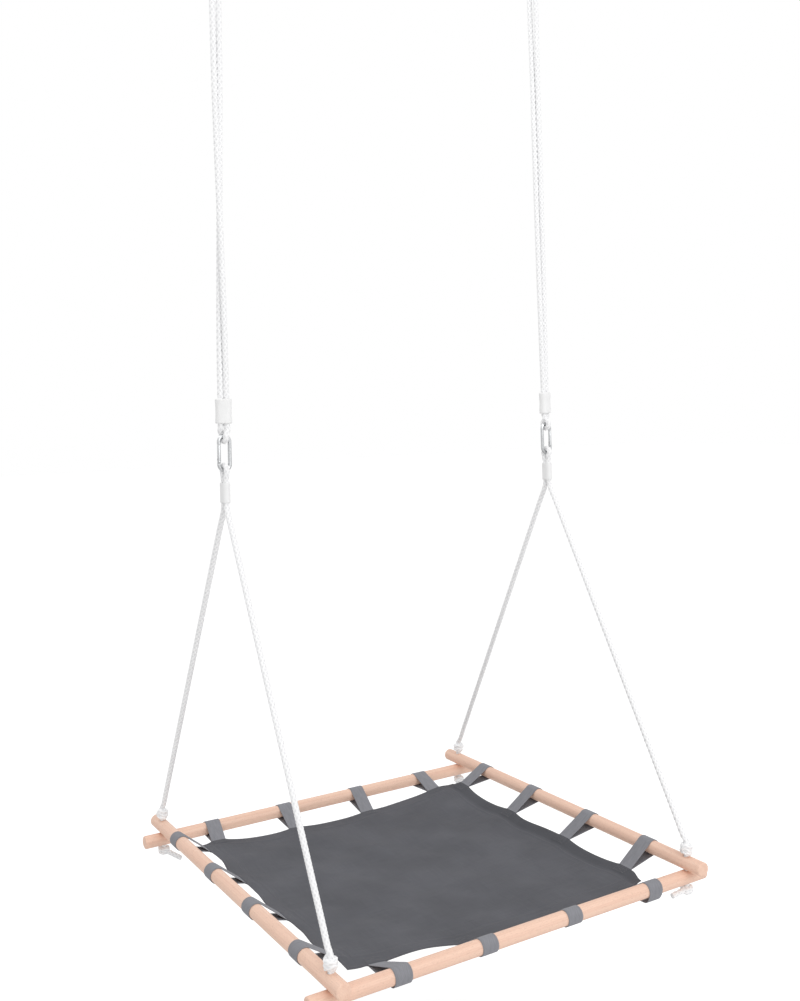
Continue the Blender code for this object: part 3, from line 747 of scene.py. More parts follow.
def smooth_route(route, step):
    """Points along a smooth curve through the route's own points, no further apart than the step."""
    runs = [(b - a).length for a, b in zip(route, route[1:])]
    ways = [(b - a).normalized() for a, b in zip(route, route[1:])]
    tangents = [ways[0]] + [(a + b).normalized() for a, b in zip(ways, ways[1:])] + [ways[-1]]
    points = []
    for i, run in enumerate(runs):
        count = max(1, math.ceil(run / step))
        start, end = route[i], route[i + 1]
        first, second = start + tangents[i] * run / 3, end - tangents[i + 1] * run / 3
        points += interpolate_bezier(start, first, second, end, count + 1)[:-1]
    return np.array(points + [route[-1]], float)


def braid_height(along, angle, settings):
    """Height of a round braid, 0 in its grooves and 1 on its crowns: strands go over and under in turn."""
    right = settings.strands * angle + 2 * math.pi * along / settings.pitch
    left = settings.strands * angle - 2 * math.pi * along / settings.pitch
    over = BRAID_OVER * np.cos(right / 2) * np.cos(left / 2)
    height = np.maximum(np.cos(right) + over, np.cos(left) - over)
    return np.clip((height - BRAID_LOW) / BRAID_RANGE, 0.0, 1.0)


def rope_mesh(points, settings, radius=ROPE_RADIUS, ends=1.0):
    """A braided rope along a path; its ends close to a share of its radius."""
    along = path_lengths(points)
    angles = round_angles(settings.sides)
    crowns = braid_height(along[:, None], angles[None, :], settings)
    taper = np.minimum(along, along[-1] - along) / radius
    swell = mix(ends, 1, np.sqrt(np.clip(1 - (1 - np.clip(taper, 0, 1)) ** 2, 0, 1)))
    reach = (radius + settings.relief * (2 * crowns - 1)) * swell[:, None]
    mesh = tube_mesh(points, reach, radius)
    shade = mesh.attributes.new("crown", "FLOAT", "POINT").data
    shade.foreach_set("value", crowns.astype(np.float32).ravel())
    return mesh


def bight(side, height, way):
    """Half turn of rope round a hook's wire, from +Y to -Y, over it or under it."""
    place = line_spot(side, height)
    return [place + Vector((0, y, way * z)) for y, z in arc((0, 0), EYE_RADIUS, 0, math.pi, 8)]


def bridle_half(side, end):
    """Route of half a bridle, from the top of its sleeve down one leg to the end of the tail."""
    way = ENDS[end]
    corner = way * POLE_SPACING / 2
    strand = way * STRAND_OFFSET

    def spot(height, along, inward=0.0):
        return Vector((side_x(side, height) - SIDES[side] * inward, along, level(height)))

    sleeve_top = SLEEVE_FOOT + SLEEVE_HEIGHT
    straight_top = KNOT_TOP + STRAIGHT_LEAD
    sleeve_leads = (sleeve_top + STRAIGHT_LEAD, sleeve_top, SLEEVE_FOOT, SLEEVE_FOOT - STRAIGHT_LEAD)
    sleeve = [spot(height, strand) for height in sleeve_leads]
    leg_top = spot(SLEEVE_FOOT - STRAIGHT_LEAD - ROPE_DIAMETER, strand + way * ROPE_RADIUS / 2)
    leg_foot = spot(straight_top + ROPE_DIAMETER, corner - way * LEG_LEAD)
    leg = [leg_top.lerp(leg_foot, share) for share in (0.0, 0.05, 0.35, 0.65, 0.95, 1.0)]
    knot_middle = KNOT_FOOT + KNOTS["lower"][0] / 2
    pole_leads = (straight_top, KNOT_TOP, POLE_FACE, -POLE_FACE, ROPE_RADIUS - knot_middle)
    upright = [spot(height, corner) for height in pole_leads]
    reach, depth = TAIL_ENDS[f"{side}_{end}"]
    tail = []
    for share in (0.3, 0.55, 0.8, 1.0):
        tail.append(spot(-knot_middle - (depth - knot_middle) * share, corner, reach * share))
    return sleeve + leg + upright + tail


def bridle_route(side):
    return bridle_half(side, "back")[::-1] + bight(side, TILT_HEIGHT, 1) + bridle_half(side, "front")


def hanger_angle(side, height):
    """Direction of the first strand from the pair's middle: along Y at the top, then slowly turning."""
    share = min((SWING_HEIGHT - height) / HANGER_DROP, 1.0)
    return QUARTER_TURN + HANGER_TWIST[side] * share


def eye_angle(side):
    """Direction of the first strand at the lower hook: the turn of the clamp, brought to the nearest Y."""
    return QUARTER_TURN + round(HANGER_TWIST[side] / math.pi) * math.pi


def strand_spot(side, height, offset, angle):
    return line_spot(side, height) + Vector((math.cos(angle), math.sin(angle), 0)) * offset


def long_strand(side, opposite):
    """One strand from the top of the clamp up to the upper hook's wire."""
    count = 18
    points = []
    for i in range(count):
        height = CLAMP_TOP + HANGER_DROP * i / count
        near = float(ease(1 - (SWING_HEIGHT - height) / HANGER_TAPER))
        offset = mix(STRAND_OFFSET, EYE_RADIUS, near)
        points.append(strand_spot(side, height, offset, hanger_angle(side, height) + opposite))
    return points


def eye_strand(side, opposite):
    """One strand of the lower eye, from the foot of the clamp down to the hook's wire."""
    start = hanger_angle(side, CLAMP_TOP)
    points = [strand_spot(side, CLAMP_FOOT, STRAND_OFFSET, start + opposite)]
    for share in (0.0, 0.25, 0.5, 0.75):
        height = CLAMP_FOOT - STRAIGHT_LEAD - (EYE_DROP - STRAIGHT_LEAD) * share
        spread = float(ease(share))
        offset = mix(STRAND_OFFSET, EYE_RADIUS, spread)
        angle = mix(start, eye_angle(side), spread)
        points.append(strand_spot(side, height, offset, angle + opposite))
    return points


def hanger_route(side):
    """The whole rope, from its first end inside the clamp, up, over, down, round and back to its second."""
    middle = CLAMP_FOOT + CLAMP_HEIGHT / 2
    held = hanger_angle(side, CLAMP_TOP)
    lower = bight(side, LINK_HEIGHT, -1)
    if math.sin(eye_angle(side)) > 0:
        lower.reverse()
    route = [strand_spot(side, middle + HANGER_JOIN_GAP, STRAND_OFFSET, held)]
    route += long_strand(side, 0) + bight(side, SWING_HEIGHT, 1) + long_strand(side, math.pi)[::-1]
    route += eye_strand(side, math.pi) + lower + eye_strand(side, 0)[::-1]
    return route + [strand_spot(side, middle - HANGER_JOIN_GAP, STRAND_OFFSET, held)]


def knot_path(height, turns, reach, step):
    """An overhand stopper round the rope: a spine strand up the outside, turns back down, then a tuck."""
    half = height / 2 - ROPE_RADIUS
    wraps = []
    for share in np.linspace(0, 1, 7 * math.ceil(turns)):
        turn = WRAP_START + turns * share
        rise = (1 - KNOT_TILT) * (1.0 - WRAP_FALL * share) + KNOT_TILT * math.cos(2 * math.pi * turn)
        wraps.append((turn, WRAP_REACH, rise))
    last = wraps[-1][0]
    tuck = [(last + turn, out, rise) for turn, out, rise in KNOT_TUCK]
    route = [Vector((0, 0, -half - ROPE_RADIUS / 2))]
    for turn, out, rise in [*KNOT_SPINE, *wraps, *tuck]:
        angle = 2 * math.pi * turn
        route.append(Vector((out * reach * math.cos(angle), out * reach * math.sin(angle), rise * half)))
    route.append(Vector((0, 0, half + ROPE_RADIUS / 2)))
    return smooth_route(route, step)


# Cloth and webbing


def loop_places(side):
    """Places of the loops along one side of the mat, measured from its middle."""
    reach = MAT_HALF - LOOP_MARGIN
    return LOOP_SHIFT + np.linspace(-reach, reach, len(LOOP_SLIDES[side]))


def loop_nearness(side, along, margin):
    """1 where a loop is sewn to a side's edge, 0 a margin away from it."""
    away = np.min(np.abs(along[..., None] - loop_places(side)), axis=-1) - LOOP_WIDTH / 2
    return ease(1 - away / margin)


def edge_inset(side, along):
    """How far a side's edge is drawn in at places along it: nothing at a loop, most between two."""
    first, second = loop_places(side)[:2]
    spacing = second - first
    gaps = (along - first) / spacing
    number = np.floor(gaps).astype(int)
    share = ((gaps - number) * spacing - LOOP_WIDTH / 2) / (spacing - LOOP_WIDTH)
    share = np.clip(share, 0.0, 1.0)
    scallops = np.array(SCALLOPS[side])
    depth, lean = np.moveaxis(scallops[np.clip(number, 0, len(scallops) - 1)], -1, 0)
    between = (number >= 0) & (number < len(scallops))
    return np.where(between, depth * 4 * share * (1 - share) + lean * np.sin(2 * math.pi * share), 0.0)


def side_place(side, x, y):
    """Distance in from a side's edge and place along it, for flat places on the cloth."""
    across, up = INWARD[side]
    return MAT_HALF + across * x + up * y, up * x - across * y


def flat_place(side, inset, along):
    """Flat place on the cloth, a distance in from one side's edge and along that side."""
    across, up = INWARD[side]
    return across * (inset - MAT_HALF) + up * along, up * (inset - MAT_HALF) - across * along


def sag_share(place):
    return np.clip(1 - (place / MAT_HALF) ** 2, 0.0, 1.0)


def corner_share(x, y, signs, reach):
    """1 at one corner of the cloth, 0 a reach away from it along either edge."""
    shares = [ease((sign * place - MAT_HALF) / reach + 1) for sign, place in zip(signs, (x, y))]
    return shares[0] * shares[1]


def cloth_middle(x, y, hem):
    """Points on the middle of the cloth for flat places: drawn in, sagging and pulled at the loops."""
    drop = mix(MAT_DROP["left"], MAT_DROP["right"], (x / MAT_HALF + 1) / 2)
    edge_sag = mix(EDGE_SAG["front"], EDGE_SAG["back"], (y / MAT_HALF + 1) / 2)
    sag = (edge_sag + MIDDLE_SAG * sag_share(y)) * sag_share(x)
    points = np.stack([x, y, level(-drop - sag)], axis=-1)
    slack = 1.0
    for side in INWARD:
        inset, along = side_place(side, x, y)
        drawn = edge_inset(side, along) * np.clip(1 - inset / MAT_HALF, 0, 1) ** 3
        points[..., 0] += INWARD[side][0] * drawn
        points[..., 1] += INWARD[side][1] * drawn
        loose = 1 - loop_nearness(side, along, LOOSE_MARGIN)
        points[..., 2] -= FREE_EDGE_DROP[side] * loose * ease(1 - inset / (2 * hem))
        if side in SIDES:
            points[..., 2] -= HEM_DIP[side] * ease(inset / hem) * ease(1 - (inset - hem) / DIP_FADE)
        ridge = loop_nearness(side, along, RIDGE_MARGIN) * np.exp(-inset / PULL_LENGTH)
        points[..., 2] += PULL_HEIGHT * ridge * ease((inset - LOOP_LAP) / RIDGE_RISE)
        slack = slack * ease(inset / SLACK_MARGIN)
    waves = [size * np.sin(2 * math.pi * (a * x + b * y) / MAT_HALF + phase) for a, b, phase, size in WAVES]
    points[..., 2] += slack * sum(waves)
    for signs, lift in CORNER_LIFTS.items():
        points[..., 2] += lift * corner_share(x, y, signs, CORNER_REACH)
    for signs, move in CORNER_TIPS.items():
        points += corner_share(x, y, signs, TIP_REACH)[..., None] * np.array(move)
    return points


def cloth_half_thickness(x, y, settings):
    """Half of the cloth's thickness: one layer inside, a hem turned in two layers, and more where webbing is
    sewn in.
    """
    sewn_in = np.zeros(x.shape)
    for side in INWARD:
        inset, along = side_place(side, x, y)
        lapped = ease((LOOP_LAP - inset) / LAP_STEP + 0.5)
        sewn_in = np.maximum(sewn_in, loop_nearness(side, along, SEWN_MARGIN) * lapped)
    to_edge = np.minimum(MAT_HALF - np.abs(x), MAT_HALF - np.abs(y))
    hem_band = ease((settings.hem - to_edge) / HEM_STEP + 0.5)
    half = settings.layer / 2 * (1 + hem_band) + settings.band * sewn_in
    fold = np.clip(1 - to_edge / (2 * settings.layer), 0.0, 1.0)
    return half * np.sqrt(1 - FOLD_ROUND * fold * fold)


def cloth_lines(settings):
    """Flat places of the cloth's grid lines, closer together at the edge and at the line of the hem."""
    inner = MAT_HALF - settings.hem
    hem = np.linspace(inner + HEM_LINE, MAT_HALF - RIM_WIDTH, HEM_COUNT)
    middle = np.linspace(-inner + HEM_LINE, inner - HEM_LINE, MIDDLE_COUNT)
    edge = MAT_HALF - np.array(RIM_LINES)
    return np.concatenate([-edge[::-1], -hem[::-1], middle, hem, edge])


def cloth_mesh(settings):
    """The whole mat as one closed cloth, with its flat places as a UV map."""
    lines = cloth_lines(settings)
    x, y = np.meshgrid(lines, lines, indexing="xy")
    middle = cloth_middle(x, y, settings.hem)
    normal = np.cross(np.gradient(middle, axis=1), np.gradient(middle, axis=0))
    normal /= np.linalg.norm(normal, axis=-1)[..., None]
    half = cloth_half_thickness(x, y, settings)[..., None]
    count = len(lines)
    low = count * count
    top, bottom = (middle + normal * half).reshape(-1, 3), (middle - normal * half).reshape(-1, 3)
    quads = quad_grid(count, count, False)
    ring = np.arange(count - 1)
    rim = np.concatenate([ring, ring * count + count - 1, low - 1 - ring, (count - 1 - ring) * count])
    after = np.roll(rim, -1)
    wall = np.stack([rim, rim + low, after + low, after], axis=1)
    faces = np.concatenate([quads, quads[:, ::-1] + low, wall])
    mesh = bpy.data.meshes.new("cloth")
    mesh.from_pydata(np.concatenate([top, bottom]), [], faces.tolist())
    flat = np.stack([x.ravel(), y.ravel()], axis=1).astype(np.float32)
    mesh.uv_layers.new(name="cloth").data.foreach_set("uv", flat[faces.ravel() % low].ravel())
    mesh.shade_smooth()
    return mesh


def tangent_angle(point, radius, way):
    """Angle round a circle at the origin where the line from a point outside touches it."""
    return math.atan2(point[1], point[0]) + way * math.acos(radius / math.hypot(*point))


def hem_spots(side, insets, along, settings):
    """Places on the middle of the cloth at distances in from a side's edge, in that side's pole frame."""
    x, y = flat_place(side, np.array(insets), np.full(len(insets), along))
    to_pole = np.array(frame_matrix(side).inverted())
    return cloth_middle(x, y, settings.hem) @ to_pole[:3, :3].T + to_pole[:3, 3]


def loop_strip(side, sewn, at_pole, slack, settings):
    """Middle of a loop's webbing along one line of it: out of the hem, round the pole and back in."""
    radius = POLE_DIAMETER / 2 + CONTACT_GAP + settings.band / 2
    held = hem_spots(side, (LOOP_LAP - LAP_END, LOOP_LAP / 2, LAP_EDGE, 0.0), sewn, settings)
    layer = np.array([0.0, settings.band * LAP_RISE, 0.0])
    upper, lower = held[-1] + layer, held[-1] - layer
    start = tangent_angle(upper[:2], radius, 1)
    end = tangent_angle(lower[:2], radius, -1) + 2 * math.pi
    wrap = np.array([(x, y, at_pole) for x, y in arc((0, 0), radius, start, end, 40)])
    wrap[:, 1] -= slack * np.clip(-wrap[:, 1] / radius, 0.0, 1.0) ** 2
    share = np.linspace(0, 1, 9)[:-1, None]
    out, back = mix(upper, wrap[0], share), mix(lower, wrap[-1], share)
    return np.concatenate([held[:-1] + layer, out, wrap, back[::-1], held[-2::-1] - layer])


def loop_mesh(side, sewn, at_pole, slack, settings):
    """One webbing loop: a band with soft edges between the hem and the pole."""
    across = LOOP_WIDTH / 2 * BAND_ACROSS
    faces = {1: [], -1: []}
    for offset, rise in zip(across, settings.band / 2 * BAND_HEIGHT):
        strip = loop_strip(side, sewn + offset, at_pole + offset, slack, settings)
        tangent = np.gradient(strip[:, :2], axis=0)
        tangent /= np.linalg.norm(tangent, axis=1)[:, None]
        normal = np.stack([-tangent[:, 1], tangent[:, 0], np.zeros(len(strip))], axis=1)
        for way in faces:
            faces[way].append(strip + way * rise * normal)
    rings = np.stack(faces[1] + faces[-1][::-1], axis=1)
    lengths = path_lengths(rings[:, len(across) // 2])
    mesh = swept_mesh(rings, lengths, np.concatenate([across, across[::-1]]))
    mesh.transform(frame_matrix(side))
    smooth_by_angle(mesh, 60)
    return mesh


# Stitching


STITCH_NODES = {
    "source": "NodeGroupInput",
    "rows": "GeometryNodeResampleCurve",
    "bead": "GeometryNodeMeshIcoSphere",
    "size": "ShaderNodeCombineXYZ",
    "tangent": "GeometryNodeInputTangent",
    "turn": "FunctionNodeAlignRotationToVector",
    "placed": "GeometryNodeInstanceOnPoints",
    "real": "GeometryNodeRealizeInstances",
    "sewn": "GeometryNodeSetMaterial",
    "result": "NodeGroupOutput",
}
STITCH_LINKS = (
    ("source", "Rows", "rows", "Curve"),
    ("source", "Pitch", "rows", "Length"),
    ("source", "Stitch Length", "size", "X"),
    ("source", "Thread Width", "size", "Y"),
    ("source", "Thread Width", "size", "Z"),
    ("tangent", "Tangent", "turn", "Vector"),
    ("rows", "Curve", "placed", "Points"),
    ("bead", "Mesh", "placed", "Instance"),
    ("turn", "Rotation", "placed", "Rotation"),
    ("size", "Vector", "placed", "Scale"),
    ("placed", "Instances", "real", "Geometry"),
    ("real", "Geometry", "sewn", "Geometry"),
    ("source", "Thread", "sewn", "Material"),
    ("sewn", "Geometry", "result", "Stitches"),
)


def stitch_tree():
    """Node tree that lays short stitches along every spline of a curve."""
    tree = bpy.data.node_groups.new("Stitch Row", "GeometryNodeTree")
    inputs = {"Rows": "Geometry", "Pitch": "Float", "Stitch Length": "Float", "Thread Width": "Float"}
    inputs["Thread"] = "Material"
    for name, kind in inputs.items():
        tree.interface.new_socket(name, in_out="INPUT", socket_type=f"NodeSocket{kind}")
    tree.interface.new_socket("Stitches", in_out="OUTPUT", socket_type="NodeSocketGeometry")
    nodes = {name: tree.nodes.new(kind) for name, kind in STITCH_NODES.items()}
    nodes["rows"].mode = "LENGTH"
    nodes["bead"].inputs["Radius"].default_value = 0.5
    nodes["bead"].inputs["Subdivisions"].default_value = 2
    nodes["turn"].axis = "X"
    for start, output, end, socket in STITCH_LINKS:
        tree.links.new(nodes[start].outputs[output], nodes[end].inputs[socket])
    return tree


def stitched_mesh(rows, settings, thread):
    """A plain mesh of the stitches along rows of points."""
    curve = bpy.data.curves.new("stitch_rows", "CURVE")
    curve.dimensions = "3D"
    for row in rows:
        spline = curve.splines.new("POLY")
        spline.points.add(len(row) - 1)
        weighted = np.column_stack([row, np.ones(len(row))])
        spline.points.foreach_set("co", weighted.astype(np.float32).ravel())
    source = new_object("stitch_rows", curve)
    tree = bpy.data.node_groups.get("Stitch Row") or stitch_tree()
    sewing = source.modifiers.new("sewing", "NODES")
    sewing.node_group = tree
    values = {
        "Pitch": settings.stitch,
        "Stitch Length": settings.stitch * STITCH_SHARE,
        "Thread Width": settings.thread_width,
        "Thread": thread,
    }
    for item in tree.interface.items_tree:
        if item.in_out == "INPUT" and item.name in values:
            sewing[item.identifier] = values[item.name]
    mesh = plain_mesh(source)
    mesh.shade_smooth()
    return mesh


def on_cloth(side, inset, along, settings, way):
    """Points just proud of the top or the underside of the cloth, by one side's edge."""
    x, y = flat_place(side, inset, along)
    points = cloth_middle(x, y, settings.hem)
    points[..., 2] += way * (cloth_half_thickness(x, y, settings) + settings.thread_width * THREAD_PROUD)
    return points


def hem_rows(settings):
    """Two rows of stitches along each hem, above and below."""
    rows = []
    for inset in (EDGE_ROW, settings.hem - HEM_ROW):
        along = np.linspace(inset - MAT_HALF, MAT_HALF - inset, ROW_POINTS)
        for side in FRAME_TURN:
            insets = np.full(ROW_POINTS, inset)
            rows += [on_cloth(side, insets, along, settings, way) for way in (1, -1)]
    return rows


def loop_rows(settings):
    """A stitched box with a cross where each loop is sewn into the hem, above and below."""
    half = LOOP_WIDTH / 2 - BOX_MARGIN
    rows = []
    for side in FRAME_TURN:
        for place in loop_places(side):
            low, high = place - half, place + half
            corners = [(BOX_NEAR, low), (BOX_NEAR, high), (BOX_FAR, high), (BOX_FAR, low)]
            edges = list(zip(corners, corners[1:] + corners[:1]))
            for start, end in edges + [(corners[0], corners[2]), (corners[1], corners[3])]:
                inset, along = np.linspace(start, end, BOX_POINTS).T
                rows += [on_cloth(side, inset, along, settings, way) for way in (1, -1)]
    return rows


# Poles, fittings and hooks


def mirrored(profile):
    return [(r, -z) for r, z in profile[::-1]]


def turned_mesh(profile, sides, radius):
    """A closed mesh turned about local Z through radii and heights, from the top down."""
    angles = round_angles(sides)
    rings = np.array([[(r * math.cos(a), r * math.sin(a), z) for a in angles] for r, z in profile[::-1]])
    return swept_mesh(rings, np.array([z for _, z in profile[::-1]]), angles * radius)


def pole_mesh(settings, number):
    """A pole along local Z with rounded ends, drilled for the ropes, with its grain as an attribute."""
    radius, half, soft = POLE_DIAMETER / 2, POLE_LENGTH / 2, settings.end_round
    end = [(radius * END_FLAT, half)] + arc((radius - soft, half - soft), soft, QUARTER_TURN, 0, 6)
    turned = turned_mesh(end + mirrored(end), settings.sides, radius)
    hole = ROPE_DIAMETER + 2 * ROPE_CLEARANCE
    crossings = [(0, 0, way * POLE_SPACING / 2) for way in (1, -1)]
    drills = [rod_mesh(hole, 3 * POLE_DIAMETER, HOLE_SIDES, spot) for spot in crossings]
    mesh = cut_mesh(turned, drills)
    places = np.zeros(len(mesh.vertices) * 3)
    mesh.vertices.foreach_get("co", places)
    x, y, z = places.reshape(-1, 3).T
    grain = (np.column_stack([z, x, y]) + (PITH + PITH_STEP * number)).astype(np.float32)
    mesh.attributes.new("grain", "FLOAT_VECTOR", "POINT").data.foreach_set("vector", grain.ravel())
    return mesh


def stadium(half_length, radius, steps=12):
    right = arc((half_length, 0), radius, -QUARTER_TURN, QUARTER_TURN, steps)
    left = arc((-half_length, 0), radius, QUARTER_TURN, 3 * QUARTER_TURN, steps)
    return right + left


def strand_block_mesh(height, wall, edge, waist):
    """A moulded block round two strands side by side along local X, with round rims and a slight waist."""
    inside = ROPE_RADIUS + ROPE_CLEARANCE
    half = height / 2
    turns = np.linspace(QUARTER_TURN, 0, 7)
    rims = [(wall - edge + edge * math.cos(a), half - edge + edge * math.sin(a)) for a in turns]
    places = np.linspace(BARREL_SHARE, -BARREL_SHARE, 9)
    barrel = [(wall - waist * math.cos(math.pi * s / 2) ** 2, half * s) for s in places]
    outer = rims + barrel + mirrored(rims)
    lip = [(edge * (1 - math.cos(a)), edge * math.sin(a) - edge) for a in np.linspace(0, QUARTER_TURN, 5)]
    inner = [(grow, -half - z) for grow, z in lip[::-1]] + [(grow, half + z) for grow, z in lip]
    rings = [[(x, y, z) for x, y in stadium(STRAND_OFFSET, inside + grow)] for grow, z in outer + inner]
    count, sides = len(rings), len(rings[0])
    mesh = bpy.data.meshes.new("strand_block")
    faces = quad_grid(count + 1, sides, True) % (count * sides)
    mesh.from_pydata(np.array(rings).reshape(-1, 3), [], faces.tolist())
    work = bmesh.new()
    work.from_mesh(mesh)
    bmesh.ops.remove_doubles(work, verts=work.verts, dist=1e-6)
    bmesh.ops.recalc_face_normals(work, faces=work.faces)
    joined = mesh_from(work)
    smooth_by_angle(joined, 40)
    return joined


def bar_mesh(path, radii):
    """A round bar of steel along a path, with a radius at each point."""
    radii = np.array(radii)
    return tube_mesh(np.array(path), np.repeat(radii[:, None], BAR_SIDES, axis=1), radii.max())


def rivet_drill(length, centre=(0, 0, 0)):
    return rod_mesh(RIVET_DIAMETER + 2 * HINGE_CLEARANCE, length, DRILL_SIDES, centre)


def hook_mesh():
    """The bent wire: round both ends, with a flat tongue for the gate's rivet below the opening."""
    straight = HOOK_CENTRES / 2 - HOOK_ARC
    tongue = TONGUE_TOP - GATE_HALF
    route = [(HOOK_ARC, GATE_HALF), (HOOK_ARC, GATE_HALF + HOOK_BEVEL)]
    route += arc((0, straight), HOOK_ARC, 0, math.pi, 32)
    route += arc((0, -straight), HOOK_ARC, math.pi, 2 * math.pi, 32)
    route += [(HOOK_ARC, tongue - HOOK_BEVEL), (HOOK_ARC, tongue)]
    bevelled = HOOK_WIRE / 2 - HOOK_BEVEL
    radii = [bevelled] + [HOOK_WIRE / 2] * (len(route) - 2) + [bevelled]
    wire = bar_mesh([(x, 0, z) for x, z in route], radii)
    sweep = math.hypot(GATE_DIAMETER / 2, GATE_HEEL) + HINGE_CLEARANCE
    cheek = Vector((2 * HOOK_WIRE, HOOK_WIRE, sweep + 2 * TONGUE_TOP))
    cutters = []
    for way in (-1, 1):
        centre = (HOOK_ARC, way * (TONGUE_THICKNESS + cheek.y) / 2, -GATE_HALF - sweep + cheek.z / 2)
        cutters.append(box_mesh(cheek, centre))
    cutters.append(rivet_drill(2 * HOOK_WIRE, (HOOK_ARC, 0, -GATE_HALF)))
    return cut_mesh(wire, cutters)


def gate_mesh():
    """The gate: a round bar from its rivet up to the hook's nose, forked over the tongue."""
    top = 2 * GATE_HALF - GATE_NOSE_GAP
    inner = GATE_DIAMETER / 2 - GATE_ROUND
    ends = arc((0, 0), GATE_ROUND, QUARTER_TURN, 0, 5)
    profile = [(inner + x, GATE_ROUND - GATE_HEEL - z) for x, z in ends]
    profile += [(inner + x, top - GATE_ROUND + z) for x, z in ends[::-1]]
    bar = bar_mesh([(0, 0, z) for _, z in profile], [r for r, _ in profile])
    slot = Vector((2 * GATE_DIAMETER, TONGUE_THICKNESS + 2 * HINGE_CLEARANCE, SLOT_TOP + 2 * GATE_HEEL))
    return cut_mesh(bar, [box_mesh(slot, (0, 0, SLOT_TOP - slot.z / 2)), rivet_drill(2 * GATE_DIAMETER)])


def rivet_mesh():
    """A rivet along Y with a low domed head at each end."""
    half = (GATE_DIAMETER + HINGE_CLEARANCE) / 2
    shank, head = RIVET_DIAMETER / 2, RIVET_DIAMETER * RIVET_HEAD_SHARE
    turns = np.linspace(DOME_START, 0, 6)
    end = [(head * math.cos(a), half + RIVET_HEAD * math.sin(a)) for a in turns]
    end += [(head, half), (shank, half - RIVET_NECK)]
    mesh = turned_mesh(end + mirrored(end), RIVET_SIDES, head)
    mesh.transform(Matrix.Rotation(-QUARTER_TURN, 4, "X"))
    return mesh


def copied(mesh, matrix):
    placed = mesh.copy()
    placed.transform(matrix)
    return placed


# Operators


class SWING_OT_stage(bpy.types.Operator):
    """Floor, light and the photograph's camera"""

    bl_idname = "swing.stage"
    bl_label = "Set Stage"

    def execute(self, context):
        settings = context.scene.swing_stage
        context.scene.view_settings.view_transform = "Standard"
        self.add_camera(context)
        self.add_floor(settings)
        self.add_world(context, settings)
        self.add_lamp("key_lamp", KEY_PLACE, KEY_SIZE, settings.key)
        self.add_lamp("top_lamp", TOP_PLACE, TOP_SIZE, settings.top)
        return {"FINISHED"}

    def add_camera(self, context):
        data = bpy.data.cameras.new("photo_camera")
        data.lens = CAMERA_FOCAL * SENSOR / IMAGE_HEIGHT
        data.sensor_width = SENSOR
        camera = new_object("photo_camera", data)
        matrix = Matrix.Translation(CAMERA_PLACE + Vector((0, 0, level(0))))
        turns = ((-CAMERA_YAW, "Z"), (QUARTER_TURN + CAMERA_PITCH, "X"), (CAMERA_ROLL, "Z"))
        for angle, axis in turns:
            matrix = matrix @ Matrix.Rotation(angle, 4, axis)
        camera.matrix_world = matrix
        context.scene.camera = camera

    def add_floor(self, settings):
        work = bmesh.new()
        bmesh.ops.create_grid(work, x_segments=1, y_segments=1, size=FLOOR_HALF)
        mesh = mesh_from(work)
        mesh.transform(Matrix.Translation((0, 0, level(-settings.floor_drop))))
        finish = Finish("pale_floor", 0.9)
        finish.shade("Base Color", FLOOR_COLOUR)
        finish.shade("Emission Color", WHITE)
        seen = finish.add("LightPath").outputs["Is Camera Ray"]
        finish.shade("Emission Strength", finish.maths("MULTIPLY", seen, FLOOR_GLOW))
        mesh.materials.append(finish.material)
        new_object("floor", mesh)

    def add_world(self, context, settings):
        """Even light on the swing, and plain white behind it and in its reflections."""
        world = bpy.data.worlds.new("soft_studio")
        context.scene.world = world
        sky = Shading(world)
        rays = sky.add("LightPath").outputs
        seen = rays["Is Camera Ray"]
        for ray in ("Is Glossy Ray", "Is Transmission Ray"):
            seen = sky.maths("MAXIMUM", seen, rays[ray])
        light = sky.tree.nodes["Background"]
        sky.feed(light, "Color", WHITE)
        sky.feed(light, "Strength", settings.ambient)
        white = sky.add("Background", {"Color": WHITE, "Strength": 1.0})
        mixed = sky.add("MixShader", {"Fac": seen, 1: light.outputs[0], 2: white.outputs[0]})
        sky.feed(sky.tree.nodes["World Output"], "Surface", mixed.outputs["Shader"])

    def add_lamp(self, name, place, size, power):
        data = bpy.data.lights.new(name, "AREA")
        data.size = size
        data.energy = power
        lamp = new_object(name, data)
        lamp.location = place + Vector((0, 0, level(HEART_HEIGHT)))
        lamp.rotation_euler = (-place).to_track_quat("-Z", "Y").to_euler()


